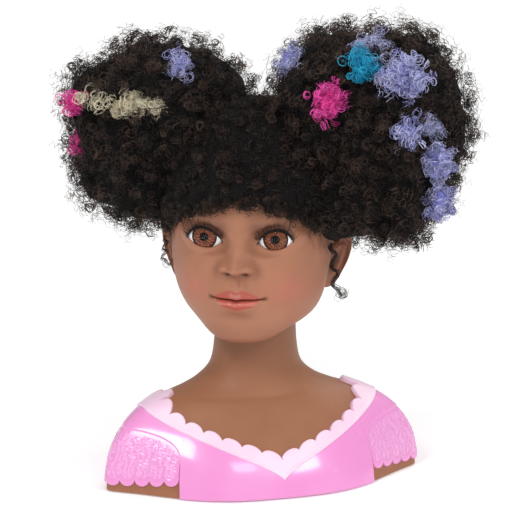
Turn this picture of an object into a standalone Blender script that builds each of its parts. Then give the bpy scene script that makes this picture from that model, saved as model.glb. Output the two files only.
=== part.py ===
"""A doll-style hair styling head: a soft head with two puffs of curly hair, turning on a shoulder bust.

The frame is in metres: +Z up, the bust faces -Y, and the Z axis is the neck's axis, which the head
turns about. The bust stands on the plane Z = 0.
"""

import math

import bmesh
import bpy
from mathutils import Euler, Matrix, Vector

# Shoulder bust
SHOULDER_WIDTH = 0.207
SHOULDER_HEIGHT = 0.063
CHEST_DEPTH = 0.068
BACK_DEPTH = 0.035
NECK_RADIUS = 0.026
NECK_TOP = 0.104
NECK_ROUNDING = 0.0012
BUST_WALL = 0.0025
RIM_LIFT = 0.0008

# Moulded blouse on the bust
CLOTH_THICKNESS = 0.0015
TRIM_THICKNESS = 0.0026
NECKLINE_FRONT = 0.0235
NECKLINE_SHOULDER = 0.0560
NECKLINE_BACK = 0.0500
TRIM_FRONT = 0.0115
TRIM_SHOULDER = 0.0520
TRIM_BACK = 0.0430
SLEEVE_HEM = 0.0105
SLEEVE_SEAM = 0.0400
SLEEVE_SEAM_X = 0.3116 * SHOULDER_WIDTH
SEAM_GAP = 0.0006
CLOTH_GAP = 0.0006

# Base
PLATE_THICKNESS = 0.003
PLATE_HEIGHT = 0.003
PLATE_CLEARANCE = 0.0010
PAD_RADIUS = 0.014
FOOT_RADIUS = 0.007
FOOT_X = 0.052
FOOT_FRONT = -0.040
FOOT_BACK = 0.010
BOSS_X = 0.072
BOSS_FRONT = -0.032
BOSS_BACK = 0.000
BOSS_RADIUS = 0.0045
SCREW_RADIUS = 0.0015
SCREW_HEAD_RADIUS = 0.0030
SCREW_LENGTH = 0.012

# Neck joint
STEM_RADIUS = 0.0095
STEM_CLEARANCE = 0.0005
PLUG_FLANGE_RADIUS = NECK_RADIUS - 0.006
PLUG_CAP_RADIUS = 0.0145
PLUG_FLANGE = 0.0036
PLUG_CAP = 0.008
WASHER_RADIUS = NECK_RADIUS - 0.005
WASHER_THICKNESS = 0.001
SOCKET_FLOOR = 0.0035
SOCKET_CLEARANCE = 0.0012
RING_THICKNESS = 0.003
RING_RADIUS = 0.017

# Head
HEAD_TURN_AT_REST = math.radians(-28.4)
HEAD_WIDTH = 0.107
CHIN_HEIGHT = 0.0965
HEAD_TOP = 0.232
FACE_DEPTH = 0.052
HEAD_BACK = 0.062
HEAD_WALL = 0.0025
NOSE_HEIGHT = 0.1445
NOSE_REACH = 0.0115
EAR_HEIGHT = 0.138
EAR_SIZE = (0.0055, 0.010, 0.0185)

# Eyes
EYE_SPACING = 0.0464
EYE_HEIGHT = 0.163
EYE_RADIUS = 0.013
EYE_DEPTH = FACE_DEPTH - 0.0065 - EYE_RADIUS
EYE_OPENING = (0.0107, 0.0064)
EYE_CUP_WALL = 0.0015
EYE_CUP_CLEARANCE = 0.0007
IRIS_RADIUS = 0.0069
IRIS_THICKNESS = 0.0008
CORNEA_RADIUS = 0.0085
LASH_LENGTH = 0.0055
LASH_THICKNESS = 0.0006
LASH_STANDOFF = 0.0012

# Hair
SCALP_GAP = 0.0008
HAIR_TOP = 0.016
HAIR_SIDE = 0.008
HAIR_FRONT = 0.012
HAIR_BACK = 0.012
FRINGE_HEIGHT = 0.179
HAIRLINE_EAR = 0.1605
HAIRLINE_NAPE = 0.112
LEFT_PUFF_CENTRE = (-0.0700, 0.014, 0.2260)
LEFT_PUFF_SIZE = (0.0610, 0.0580, 0.0680)
RIGHT_PUFF_CENTRE = (0.0780, 0.014, 0.2160)
RIGHT_PUFF_SIZE = (0.0700, 0.0600, 0.0820)
TIE_ROOT = (0.0430, 0.004, 0.2240)
TIE_RADIUS = 0.017
TIE_THICKNESS = 0.0022
SIDE_LOCK_RADIUS = 0.0035

GAP = 0.0003  # between faces of neighbouring pieces
SKIN_LAP = 0.015  # the open line between the blouse's skins, as a share of the way up the bust
BUST_SEGMENTS = 48  # the bust and the blouse share their segments, so that their facets lie parallel

# Each row: share of SHOULDER_HEIGHT, share of the way from the neck's radius out to the shoulder tips,
# depth of the widest line, front and back depth as shares of CHEST_DEPTH and BACK_DEPTH, chest shape
SHOULDER_ROWS = (
    (0.00, 1.000, -0.020, 1.000, 0.86, 1.0),
    (0.19, 0.990, -0.020, 0.941, 0.94, 1.0),
    (0.38, 0.950, -0.019, 0.846, 1.00, 0.95),
    (0.55, 0.870, -0.017, 0.728, 1.00, 0.85),
    (0.68, 0.765, -0.014, 0.625, 0.97, 0.7),
    (0.78, 0.640, -0.011, 0.551, 0.94, 0.55),
    (0.85, 0.500, -0.008, 0.500, 0.90, 0.4),
    (0.91, 0.345, -0.005, 0.456, 0.86, 0.25),
    (1.00, 0.180, -0.002, 0.424, 0.82, 0.1),
)

# Name, puff side, direction from the puff's centre (azimuth from the front to the right, elevation),
# half sizes and twist of each coloured lock
LOCKS = (
    ("lock_blonde", -1, -3, 17, (0.0215, 0.006, 0.0060), 3),
    ("lock_magenta_1", -1, -46, 13, (0.0090, 0.008, 0.0080), 20),
    ("lock_magenta_2", -1, -57, -13, (0.0090, 0.008, 0.0080), -20),
    ("lock_lilac_1", -1, 37, 40, (0.0050, 0.006, 0.0100), 0),
    ("lock_lilac_2", 1, -68, 38, (0.0055, 0.006, 0.0090), -25),
    ("lock_teal", 1, -5, 40, (0.0090, 0.007, 0.0110), 10),
    ("lock_magenta_3", 1, -21, 22, (0.0110, 0.009, 0.0110), 0),
    ("lock_lilac_3", 1, 21, 35, (0.0150, 0.008, 0.0130), 0),
    ("lock_lilac_4", 1, 23, 11, (0.0085, 0.008, 0.0080), 0),
    ("lock_lilac_5", 1, 44, -5, (0.0070, 0.008, 0.0100), 0),
    ("lock_lilac_6", 1, 47, -24, (0.0060, 0.008, 0.0110), 0),
)

SIDES = (("left", -1), ("right", 1))


def clear_scene():
    for item in list(bpy.data.objects):
        bpy.data.objects.remove(item, do_unlink=True)


def new_collection(name, hidden=False):
    collection = bpy.data.collections.new(name)
    bpy.context.scene.collection.children.link(collection)
    collection.hide_render = hidden
    return collection


def material(name, colour, roughness, metallic=0.0):
    made = bpy.data.materials.new(name)
    made.use_nodes = True
    shader = made.node_tree.nodes["Principled BSDF"]
    shader.inputs["Base Color"].default_value = (*colour, 1.0)
    shader.inputs["Roughness"].default_value = roughness
    shader.inputs["Metallic"].default_value = metallic
    return made


def add_object(name, data, collection, look=None, parent=None):
    made = bpy.data.objects.new(name, data)
    collection.objects.link(made)
    if look:
        data.materials.append(look)
    if parent:
        made.parent = parent
    if collection.hide_render:
        made.hide_render = True
        made.display_type = "WIRE"
    return made


def mesh_object(name, shape, collection, look=None, parent=None, smooth=True):
    """An object from a bmesh, with its faces turned outwards."""
    shape.normal_update()
    bmesh.ops.recalc_face_normals(shape, faces=shape.faces)
    mesh = bpy.data.meshes.new(name)
    shape.to_mesh(mesh)
    shape.free()
    if smooth:
        mesh.shade_smooth()
        mesh.set_sharp_from_angle(angle=math.radians(40))
    return add_object(name, mesh, collection, look, parent)


def cylinder(radius, bottom, top, at=(0.0, 0.0), segments=32):
    shape = bmesh.new()
    bmesh.ops.create_cone(
        shape, cap_ends=True, segments=segments, radius1=radius, radius2=radius, depth=top - bottom
    )
    bmesh.ops.translate(shape, verts=shape.verts, vec=(at[0], at[1], (bottom + top) / 2))
    return shape


def box(low, high):
    shape = bmesh.new()
    bmesh.ops.create_cube(shape, size=1.0)
    middle = (Vector(low) + Vector(high)) / 2
    for vert in shape.verts:
        vert.co = middle + Vector([c * (h - l) for c, l, h in zip(vert.co, low, high)])
    return shape


def ellipsoid(sizes, centre, turn=(0, 0, 0), segments=24, rings=14):
    shape = bmesh.new()
    bmesh.ops.create_uvsphere(shape, u_segments=segments, v_segments=rings, radius=1.0)
    rotation = Euler(turn).to_matrix()
    for vert in shape.verts:
        vert.co = Vector(centre) + rotation @ Vector([c * s for c, s in zip(vert.co, sizes)])
    return shape


def loft(rings, closed_ends, loop=False):
    """A skin over rings of equally many points: end rings capped, left open or joined in a loop."""
    shape = bmesh.new()
    rows = [[shape.verts.new(point) for point in ring] for ring in rings]
    for lower, upper in zip(rows, rows[1:] + (rows[:1] if loop else [])):
        for i in range(len(lower)):
            j = (i + 1) % len(lower)
            shape.faces.new((lower[i], lower[j], upper[j], upper[i]))
    if closed_ends:
        shape.faces.new(rows[0])
        shape.faces.new(rows[-1])
    return shape


def grid(rows):
    """An open sheet over rows of points."""
    shape = bmesh.new()
    verts = [[shape.verts.new(point) for point in row] for row in rows]
    for lower, upper in zip(verts, verts[1:]):
        for a, b, c, d in zip(lower, lower[1:], upper[1:], upper):
            shape.faces.new((a, b, c, d))
    return shape


def boolean(item, other, operation="DIFFERENCE"):
    modifier = item.modifiers.new(operation.lower(), "BOOLEAN")
    modifier.operation = operation
    modifier.object = other
    modifier.solver = "EXACT"


def solidify(item, thickness, outward):
    modifier = item.modifiers.new("wall", "SOLIDIFY")
    modifier.thickness = thickness
    modifier.offset = 1.0 if outward else -1.0
    modifier.use_even_offset = True


def turned(name, profile, collection, look, parent=None):
    """A solid of revolution about Z; the profile of (radius, height) runs down its outer side."""
    shape = bmesh.new()
    verts = [shape.verts.new((radius, 0.0, height)) for radius, height in profile]
    for a, b in zip(verts, verts[1:] + verts[:1] if profile[0][0] > 0 else verts[1:]):
        shape.edges.new((a, b))
    mesh = bpy.data.meshes.new(name)
    shape.to_mesh(mesh)
    shape.free()
    made = add_object(name, mesh, collection, look, parent)
    screw = made.modifiers.new("turn", "SCREW")
    screw.steps = 24
    screw.render_steps = 24
    screw.use_merge_vertices = True
    screw.merge_threshold = 0.00005
    screw.use_smooth_shade = True
    return made


# The bust's surface


def bust_rows():
    """Rows of height, half width, widest line's depth, front depth, back depth and chest shape."""
    reach = SHOULDER_WIDTH / 2 - NECK_RADIUS
    rows = []
    for height, share, middle, front, back, chest in SHOULDER_ROWS:
        width = NECK_RADIUS + reach * share
        rows.append(
            (RIM_LIFT + height * (SHOULDER_HEIGHT - RIM_LIFT), width, middle, front * CHEST_DEPTH,
             back * BACK_DEPTH, chest)
        )
    shoulder = rows[-1]
    for share, flare in ((0.22, 0.3), (0.55, 0.06), (1.0, 0.0)):
        height = SHOULDER_HEIGHT + share * (NECK_TOP - SHOULDER_HEIGHT)
        width, front, back = (
            NECK_RADIUS + flare * (shoulder[column] - NECK_RADIUS) for column in (1, 3, 4)
        )
        rows.append((height, width, flare * shoulder[2], front, back, 0.0))
    return rows


BUST_ROWS = bust_rows()


def bust_row(share):
    """The bust's row at a share of the way up its rows, on a smooth curve through them."""
    last = len(BUST_ROWS) - 1
    place = min(max(share, 0.0), 1.0) * last
    index = min(int(place), last - 1)
    f = place - index
    before, low, high, after = (
        BUST_ROWS[min(max(index + step, 0), last)] for step in (-1, 0, 1, 2)
    )
    return [
        0.5 * (2 * b + (c - a) * f + (2 * a - 5 * b + 4 * c - d) * f**2 + (3 * b - a - 3 * c + d) * f**3)
        for a, b, c, d in zip(before, low, high, after)
    ]


def share_at(height):
    low, high = 0.0, 1.0
    for _ in range(30):
        middle = (low + high) / 2
        if bust_row(middle)[0] < height:
            low = middle
        else:
            high = middle
    return low


def bust_point(angle, share):
    """The skin of the bust: the angle runs from the wearer's left side by the back."""
    height, width, middle, front, back, chest = bust_row(share)
    across = abs(math.cos(angle))
    round_shape = abs(math.sin(angle))
    if math.sin(angle) < 0:
        chest_shape = 0.78 * (1 - across**3) ** 2.2 + 0.22 * math.sqrt(max(0.0, 1 - across**8))
        depth = round_shape + (chest_shape - round_shape) * chest
        return Vector((width * math.cos(angle), middle - (front + middle) * depth, height))
    back_shape = max(0.0, 1 - across**2.6) ** 0.62
    depth = round_shape + (back_shape - round_shape) * chest
    return Vector((width * math.cos(angle), middle + (back - middle) * depth, height))


def bust_offset(angle, share, out):
    step = 0.001
    along = bust_point(angle + step, share) - bust_point(angle - step, share)
    up = bust_point(angle, min(share + step, 1.0)) - bust_point(angle, max(share - step, 0.0))
    return bust_point(angle, share) + along.cross(up).normalized() * out


def neckline(angle, front, shoulder, back):
    """The share at which a neckline edge runs, from its heights at the front, shoulder and back."""
    side = abs(math.cos(angle)) ** 0.75
    middle = front if math.sin(angle) < 0 else back
    return share_at(middle + (shoulder - middle) * side)


def trim_inner(angle):
    return neckline(angle, NECKLINE_FRONT, NECKLINE_SHOULDER, NECKLINE_BACK)


def trim_outer(angle):
    return neckline(angle, TRIM_FRONT, TRIM_SHOULDER, TRIM_BACK)


def ring_angles(count):
    return [2 * math.pi * i / count for i in range(count)]


# Pieces of the bust


def make_bust_shell(parts, cutters, look):
    angles = ring_angles(BUST_SEGMENTS)
    levels = 12
    shares = [i / levels for i in range(levels + 1)]
    rings = [[bust_point(angle, share) for angle in angles] for share in shares]
    for radius in (NECK_RADIUS - NECK_ROUNDING, STEM_RADIUS + STEM_CLEARANCE):
        lip = [Vector((radius * math.cos(a), radius * math.sin(a), neck_lip())) for a in angles]
        rings.append(lip)
    shell = mesh_object("bust_shell", loft(rings, False), parts, look)
    solidify(shell, BUST_WALL, outward=False)
    core_rings = [
        [bust_offset(angle, share, -BUST_WALL / 2) for angle in angles] for share in shares[:-3]
    ]
    core = mesh_object("bust_core", loft(core_rings, True), cutters)
    for index, (x, y) in enumerate(boss_places(), 1):
        boss_bottom = PLATE_HEIGHT + PLATE_THICKNESS + GAP
        boss = mesh_object(
            f"boss_{index}", cylinder(BOSS_RADIUS, boss_bottom, SHOULDER_HEIGHT, (x, y), 14), cutters
        )
        boolean(boss, core, "INTERSECT")
        boolean(shell, boss, "UNION")
        hole_top = boss_bottom + SCREW_LENGTH
        hole = mesh_object(
            f"boss_hole_{index}", cylinder(SCREW_RADIUS + GAP, 0.0, hole_top, (x, y), 12), cutters
        )
        boolean(shell, hole)
    return shell


def boss_places():
    return [(x * BOSS_X, y) for x in (-1, 1) for y in (BOSS_FRONT, BOSS_BACK)]


def foot_places():
    return [(x * FOOT_X, y) for x in (-1, 1) for y in (FOOT_FRONT, FOOT_BACK)]


def skin_ring(name, low, high, levels, thickness, collection, look=None):
    """A skin right round the bust, between two edges given as shares of the way up at an angle."""
    angles = ring_angles(BUST_SEGMENTS)
    rings = []
    for level in range(levels + 1):
        part = level / levels
        rings.append([
            bust_offset(angle, low(angle) + (high(angle) - low(angle)) * part, CLOTH_GAP)
            for angle in angles
        ])
    skin = mesh_object(name, loft(rings, False), collection, look)
    solidify(skin, thickness, outward=True)
    return skin


def sleeve_block(side, inset, bottom):
    """The block over one arm that a sleeve fills, drawn in from its seams by the inset."""
    inner = side * (SLEEVE_SEAM_X + inset)
    outer = side * SHOULDER_WIDTH
    return box(
        (min(inner, outer), -CHEST_DEPTH - 0.02, bottom),
        (max(inner, outer), BACK_DEPTH + 0.02, SLEEVE_SEAM - inset),
    )


def make_blouse(parts, cutters, look, trim_look):
    """The bodice, two sleeves and the neckline trim: moulded skins over the bust."""
    def hem(angle):
        return 0.0

    def bodice_top(angle):
        return trim_outer(angle) - SKIN_LAP

    bodice = skin_ring("blouse_bodice", hem, bodice_top, 6, CLOTH_THICKNESS, parts, look)
    skin_ring("neckline_trim", trim_outer, trim_inner, 3, TRIM_THICKNESS, parts, trim_look)
    for name, side in SIDES:
        window = mesh_object(f"sleeve_window_{name}", sleeve_block(side, 0.0, -0.01), cutters)
        boolean(bodice, window)
        sleeve = skin_ring(f"sleeve_{name}", hem, bodice_top, 6, CLOTH_THICKNESS, parts, look)
        arm = mesh_object(f"sleeve_block_{name}", sleeve_block(side, SEAM_GAP, SLEEVE_HEM), cutters)
        boolean(sleeve, arm, "INTERSECT")


def make_base(parts, cutters, plate_look, rubber_look, steel_look):
    plate_bottom = PLATE_HEIGHT
    plate_top = PLATE_HEIGHT + PLATE_THICKNESS
    rings = []
    for height in (plate_bottom, plate_top):
        share = share_at(height)
        inset = -(BUST_WALL + PLATE_CLEARANCE)
        rings.append([bust_offset(a, share, inset) for a in ring_angles(BUST_SEGMENTS)])
        for point in rings[-1]:
            point.z = height
    plate = mesh_object("base_plate", loft(rings, True), parts, plate_look, smooth=False)
    pad = cylinder(PAD_RADIUS, 0.0, (plate_bottom + plate_top) / 2, segments=24)
    boolean(plate, mesh_object("centre_pad", pad, cutters), "UNION")
    for index, (x, y) in enumerate(boss_places(), 1):
        cut = cylinder(SCREW_RADIUS + GAP, 0.0, 2 * plate_top, (x, y), 12)
        boolean(plate, mesh_object(f"plate_hole_{index}", cut, cutters))
        screw_top = plate_top + SCREW_LENGTH - GAP
        head_bottom = RIM_LIFT + 2 * GAP
        head_top = plate_bottom - GAP
        screw = turned(
            f"base_screw_{index}",
            [(0, screw_top), (SCREW_RADIUS, screw_top - SCREW_RADIUS), (SCREW_RADIUS, head_top),
             (SCREW_HEAD_RADIUS, head_top), (SCREW_HEAD_RADIUS, head_bottom), (0, head_bottom)],
            parts, steel_look,
        )
        screw.location = (x, y, 0.0)
        screw.modifiers["turn"].steps = 12
        screw.modifiers["turn"].render_steps = 12
    for index, (x, y) in enumerate(foot_places(), 1):
        foot = cylinder(FOOT_RADIUS, 0.0, plate_bottom - GAP, (x, y), 20)
        mesh_object(f"foot_{index}", foot, parts, rubber_look)


def neck_lip():
    """The height of the flat lip that closes the neck's top."""
    return NECK_TOP + NECK_ROUNDING / 2


def neck_levels():
    """Heights in the neck joint, from the neck's top up."""
    washer_bottom = neck_lip() + GAP
    socket = washer_bottom + WASHER_THICKNESS + GAP
    ring_bottom = socket + SOCKET_FLOOR + GAP
    cap_bottom = ring_bottom + RING_THICKNESS + GAP
    return washer_bottom, socket, ring_bottom, cap_bottom


def make_neck_joint(parts, plug_look, washer_look):
    washer_bottom, _, _, cap_bottom = neck_levels()
    flange_top = neck_lip() - BUST_WALL - GAP
    cap_top = cap_bottom + PLUG_CAP
    turned(
        "neck_plug",
        [(0, cap_top), (PLUG_CAP_RADIUS * 0.6, cap_top - PLUG_CAP * 0.1),
         (PLUG_CAP_RADIUS, cap_top - PLUG_CAP * 0.6),
         (PLUG_CAP_RADIUS, cap_bottom), (STEM_RADIUS, cap_bottom), (STEM_RADIUS, flange_top),
         (PLUG_FLANGE_RADIUS, flange_top), (PLUG_FLANGE_RADIUS, flange_top - PLUG_FLANGE),
         (0, flange_top - PLUG_FLANGE)],
        parts, plug_look,
    )
    hole = STEM_RADIUS + STEM_CLEARANCE
    turned(
        "friction_washer",
        [(hole, washer_bottom + WASHER_THICKNESS), (WASHER_RADIUS, washer_bottom + WASHER_THICKNESS),
         (WASHER_RADIUS, washer_bottom), (hole, washer_bottom)],
        parts, washer_look,
    )


# The head, in its own turned frame


def smooth_power(share, power, root):
    return max(0.0, 1 - abs(share) ** power) ** root


def head_point(direction, grow=(0.0, 0.0, 0.0, 0.0)):
    """The head's surface in a direction; grow thickens its sides, front, back and top."""
    side, front, back, top = grow
    centre = (CHIN_HEIGHT + HEAD_TOP) / 2
    half = (HEAD_TOP - CHIN_HEIGHT) / 2
    level = direction.z
    flat = math.hypot(direction.x, direction.y)
    if flat < 1e-6:
        return Vector((0.0, 0.006, centre + level * (half + top)))
    across = abs(direction.x) / flat
    if level < 0:
        width = smooth_power(level, 2.9, 0.417)
        front_depth = smooth_power(level, 10, 0.4)
        back_depth = smooth_power(level, 2, 0.6)
    else:
        width = smooth_power(level, 2.3, 0.5)
        front_depth = smooth_power(level, 2.4, 0.5)
        back_depth = smooth_power(level, 2.2, 0.5)
    x = math.copysign(across * width * (HEAD_WIDTH / 2 + side), direction.x)
    if direction.y < 0:
        y = -smooth_power(across, 2.2, 0.5) * front_depth * (FACE_DEPTH + front)
    else:
        y = smooth_power(across, 2.0, 0.5) * back_depth * (HEAD_BACK + back)
    return Vector((x, y, centre + level * (half + (top if level > 0 else min(top, 0.0)))))


def head_form(grow=(0.0, 0.0, 0.0, 0.0), segments=28, rings=17):
    shape = bmesh.new()
    bmesh.ops.create_uvsphere(shape, u_segments=segments, v_segments=rings, radius=1.0)
    for vert in shape.verts:
        vert.co = head_point(vert.co, grow)
    return shape


def ear_centre(side):
    return (side * (HEAD_WIDTH / 2 + 0.0008), 0.004, EAR_HEIGHT)


def make_ear(side, grow=0.0):
    sizes = [size + grow for size in EAR_SIZE]
    return ellipsoid(sizes, ear_centre(side), (math.radians(12), 0, 0), 14, 10)


def make_nose():
    reach = FACE_DEPTH - 0.006
    return ellipsoid((0.0085, NOSE_REACH + 0.006, 0.0105), (0, -reach, NOSE_HEIGHT), (0, 0, 0), 12, 8)


def make_head(parts, cutters, head, look):
    _, socket, _, _ = neck_levels()
    shell = mesh_object("head_shell", head_form(), parts, look, head)
    for name, side in SIDES:
        boolean(shell, mesh_object(f"ear_{name}", make_ear(side), cutters, parent=head), "UNION")
    boolean(shell, mesh_object("nose", make_nose(), cutters, parent=head), "UNION")
    wall = -HEAD_WALL
    cavity = mesh_object("head_cavity", head_form((wall, wall, wall, wall)), cutters, parent=head)
    cavity.data.transform(cavity_shrink())
    socket_wall = cylinder(
        NECK_RADIUS + SOCKET_CLEARANCE + HEAD_WALL, 0.0, socket + SOCKET_FLOOR, segments=32
    )
    boolean(cavity, mesh_object("socket_wall", socket_wall, cutters, parent=head))
    boolean(shell, cavity)
    recess = cylinder(NECK_RADIUS + SOCKET_CLEARANCE, 0.0, socket, segments=32)
    boolean(shell, mesh_object("neck_recess", recess, cutters, parent=head))
    stem_hole = cylinder(STEM_RADIUS + STEM_CLEARANCE, 0.0, socket + 2 * SOCKET_FLOOR)
    boolean(shell, mesh_object("stem_hole", stem_hole, cutters, parent=head))
    for name, side in SIDES:
        centre = (side * EYE_SPACING / 2, -EYE_DEPTH, EYE_HEIGHT)
        pocket = ellipsoid([EYE_RADIUS + GAP] * 3, centre, (0, 0, 0), 20, 12)
        boolean(shell, mesh_object(f"eye_pocket_{name}", pocket, cutters, parent=head))
        opening = cylinder(1.0, -0.03, 0.03, segments=28)
        for vert in opening.verts:
            x, y, z = vert.co
            vert.co = (centre[0] + x * EYE_OPENING[0], -FACE_DEPTH + z, centre[2] + y * EYE_OPENING[1])
        bound = -EYE_DEPTH - 0.004
        for vert in opening.verts:
            vert.co.y = min(vert.co.y, bound)
        boolean(shell, mesh_object(f"eye_opening_{name}", opening, cutters, parent=head))
    return shell


def cavity_shrink():
    """Lifts the hollow's floor, which the chin's wall rests under."""
    centre = (CHIN_HEIGHT + HEAD_TOP) / 2
    half = (HEAD_TOP - CHIN_HEIGHT) / 2
    scale = (half - HEAD_WALL) / half
    return (
        Matrix.Translation((0, 0, centre)) @ Matrix.Diagonal((1, 1, scale, 1))
        @ Matrix.Translation((0, 0, -centre))
    )


def make_neck_ring(parts, head, look):
    _, _, ring_bottom, _ = neck_levels()
    hole = STEM_RADIUS + STEM_CLEARANCE
    top = ring_bottom + RING_THICKNESS
    turned(
        "neck_ring",
        [(hole, top), (RING_RADIUS, top), (RING_RADIUS, ring_bottom), (hole, ring_bottom)],
        parts, look, head,
    )


def make_eyes(parts, cutters, head, looks):
    iris_plane = -EYE_DEPTH - math.sqrt(EYE_RADIUS**2 - (IRIS_RADIUS + GAP) ** 2) + 0.0012
    for name, side in SIDES:
        x = side * EYE_SPACING / 2
        centre = (x, -EYE_DEPTH, EYE_HEIGHT)
        ball = mesh_object(
            f"eyeball_{name}", ellipsoid([EYE_RADIUS] * 3, centre, (0, 0, 0), 20, 12),
            parts, looks["white"], head,
        )
        seat = box(
            (x - 0.02, iris_plane - 0.02, EYE_HEIGHT - 0.02), (x + 0.02, iris_plane, EYE_HEIGHT + 0.02)
        )
        boolean(ball, mesh_object(f"iris_seat_{name}", seat, cutters, parent=head))
        iris = facing_disc(IRIS_RADIUS, iris_plane - GAP, IRIS_THICKNESS, x)
        mesh_object(f"iris_{name}", iris, parts, looks["iris"], head)
        back = iris_plane - GAP - IRIS_THICKNESS - GAP
        cornea = mesh_object(
            f"cornea_{name}",
            ellipsoid([CORNEA_RADIUS] * 3, (x, back + 0.0062, EYE_HEIGHT), (math.pi / 2, 0, 0), 16, 10),
            parts, looks["clear"], head,
        )
        rest = box((x - 0.02, back, EYE_HEIGHT - 0.02), (x + 0.02, back + 0.04, EYE_HEIGHT + 0.02))
        boolean(cornea, mesh_object(f"cornea_cut_{name}", rest, cutters, parent=head))
        cup = eye_cup_sheet(centre)
        cup_object = mesh_object(f"eye_cup_{name}", cup, parts, looks["cup"], head)
        solidify(cup_object, EYE_CUP_WALL, outward=True)
        lash = mesh_object(f"eyelash_{name}", lash_sheet(side), parts, looks["lash"], head)
        solidify(lash, LASH_THICKNESS, outward=True)


def facing_disc(radius, back, thickness, x):
    shape = cylinder(radius, 0.0, thickness, segments=28)
    for vert in shape.verts:
        across, up, out = vert.co
        vert.co = (x + across, back - out, EYE_HEIGHT + up)
    return shape


def eye_cup_sheet(centre):
    """The back half of a sphere just larger than the eyeball, open to the front."""
    radius = EYE_RADIUS + EYE_CUP_CLEARANCE
    rings = []
    for i in range(6):
        polar = math.radians(8 + 80 * i / 5)
        ring = []
        for angle in ring_angles(20):
            out = radius * math.sin(polar)
            ring.append(
                Vector(centre)
                + Vector((out * math.cos(angle), radius * math.cos(polar), out * math.sin(angle)))
            )
        rings.append(ring)
    return loft(rings, False)


def lash_sheet(side):
    """A curved fringe that starts on the upper lid's edge and sweeps outwards and up."""
    rows = []
    for i in range(4):
        out = LASH_LENGTH * i / 3
        row = []
        for j in range(11):
            angle = math.radians(20 + 140 * j / 10)
            across = math.cos(angle) * EYE_OPENING[0] * (1 + 0.02 * i)
            up = math.sin(angle) * EYE_OPENING[1] + 0.35 * out
            x = side * EYE_SPACING / 2 + across
            face = -FACE_DEPTH * smooth_power(2 * x / HEAD_WIDTH, 2.2, 0.5)
            row.append((x, face - LASH_STANDOFF - out * 0.75, EYE_HEIGHT + up))
        rows.append(row)
    return grid(rows)


# Hair


def hair_form(extra=0.0):
    grow = (HAIR_SIDE + extra, HAIR_FRONT + extra, HAIR_BACK + extra, HAIR_TOP + extra)
    return head_form(grow, 24, 14)


def below_hairline():
    """A block under the hairline: level over the brow, lower by the ears, lowest at the nape."""
    outline = [
        (-0.12, FRINGE_HEIGHT), (-0.036, FRINGE_HEIGHT), (-0.010, HAIRLINE_EAR), (0.018, HAIRLINE_EAR),
        (0.028, HAIRLINE_NAPE), (0.12, HAIRLINE_NAPE), (0.12, 0.0), (-0.12, 0.0),
    ]
    return loft([[(x, y, z) for y, z in outline] for x in (-0.12, 0.12)], True)


def puff_of(side):
    if side < 0:
        return LEFT_PUFF_CENTRE, LEFT_PUFF_SIZE
    return RIGHT_PUFF_CENTRE, RIGHT_PUFF_SIZE


def lock_shape(lock, grow=0.0):
    _, side, azimuth, elevation, sizes, twist = lock
    centre, radii = puff_of(side)
    a, e = math.radians(azimuth), math.radians(elevation)
    direction = Vector((math.sin(a) * math.cos(e), -math.cos(a) * math.cos(e), math.sin(e)))
    place = Vector(centre) + Vector([d * r for d, r in zip(direction, radii)])
    place -= direction * sizes[1] * 0.35
    turn = (-e, math.radians(twist), a)
    return ellipsoid([size + grow for size in sizes], place, turn, 10, 6)


def tie_ring(side, grow=0.0):
    """A ring round the root of a puff, leaning out from the middle of the head."""
    around, section = 20, 8
    root = Vector((side * TIE_ROOT[0], TIE_ROOT[1], TIE_ROOT[2]))
    middle = Vector((0.0, TIE_ROOT[1], (CHIN_HEIGHT + HEAD_TOP) / 2))
    lean = (root - middle).to_track_quat("Z", "Y")
    rings = []
    for angle in ring_angles(around):
        ring = []
        for turn in ring_angles(section):
            out = TIE_RADIUS + (TIE_THICKNESS + grow) * math.cos(turn)
            up = (TIE_THICKNESS + grow) * math.sin(turn)
            point = Vector((out * math.cos(angle), out * math.sin(angle), up))
            ring.append(root + lean @ point)
        rings.append(ring)
    return loft(rings, False, loop=True)


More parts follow.
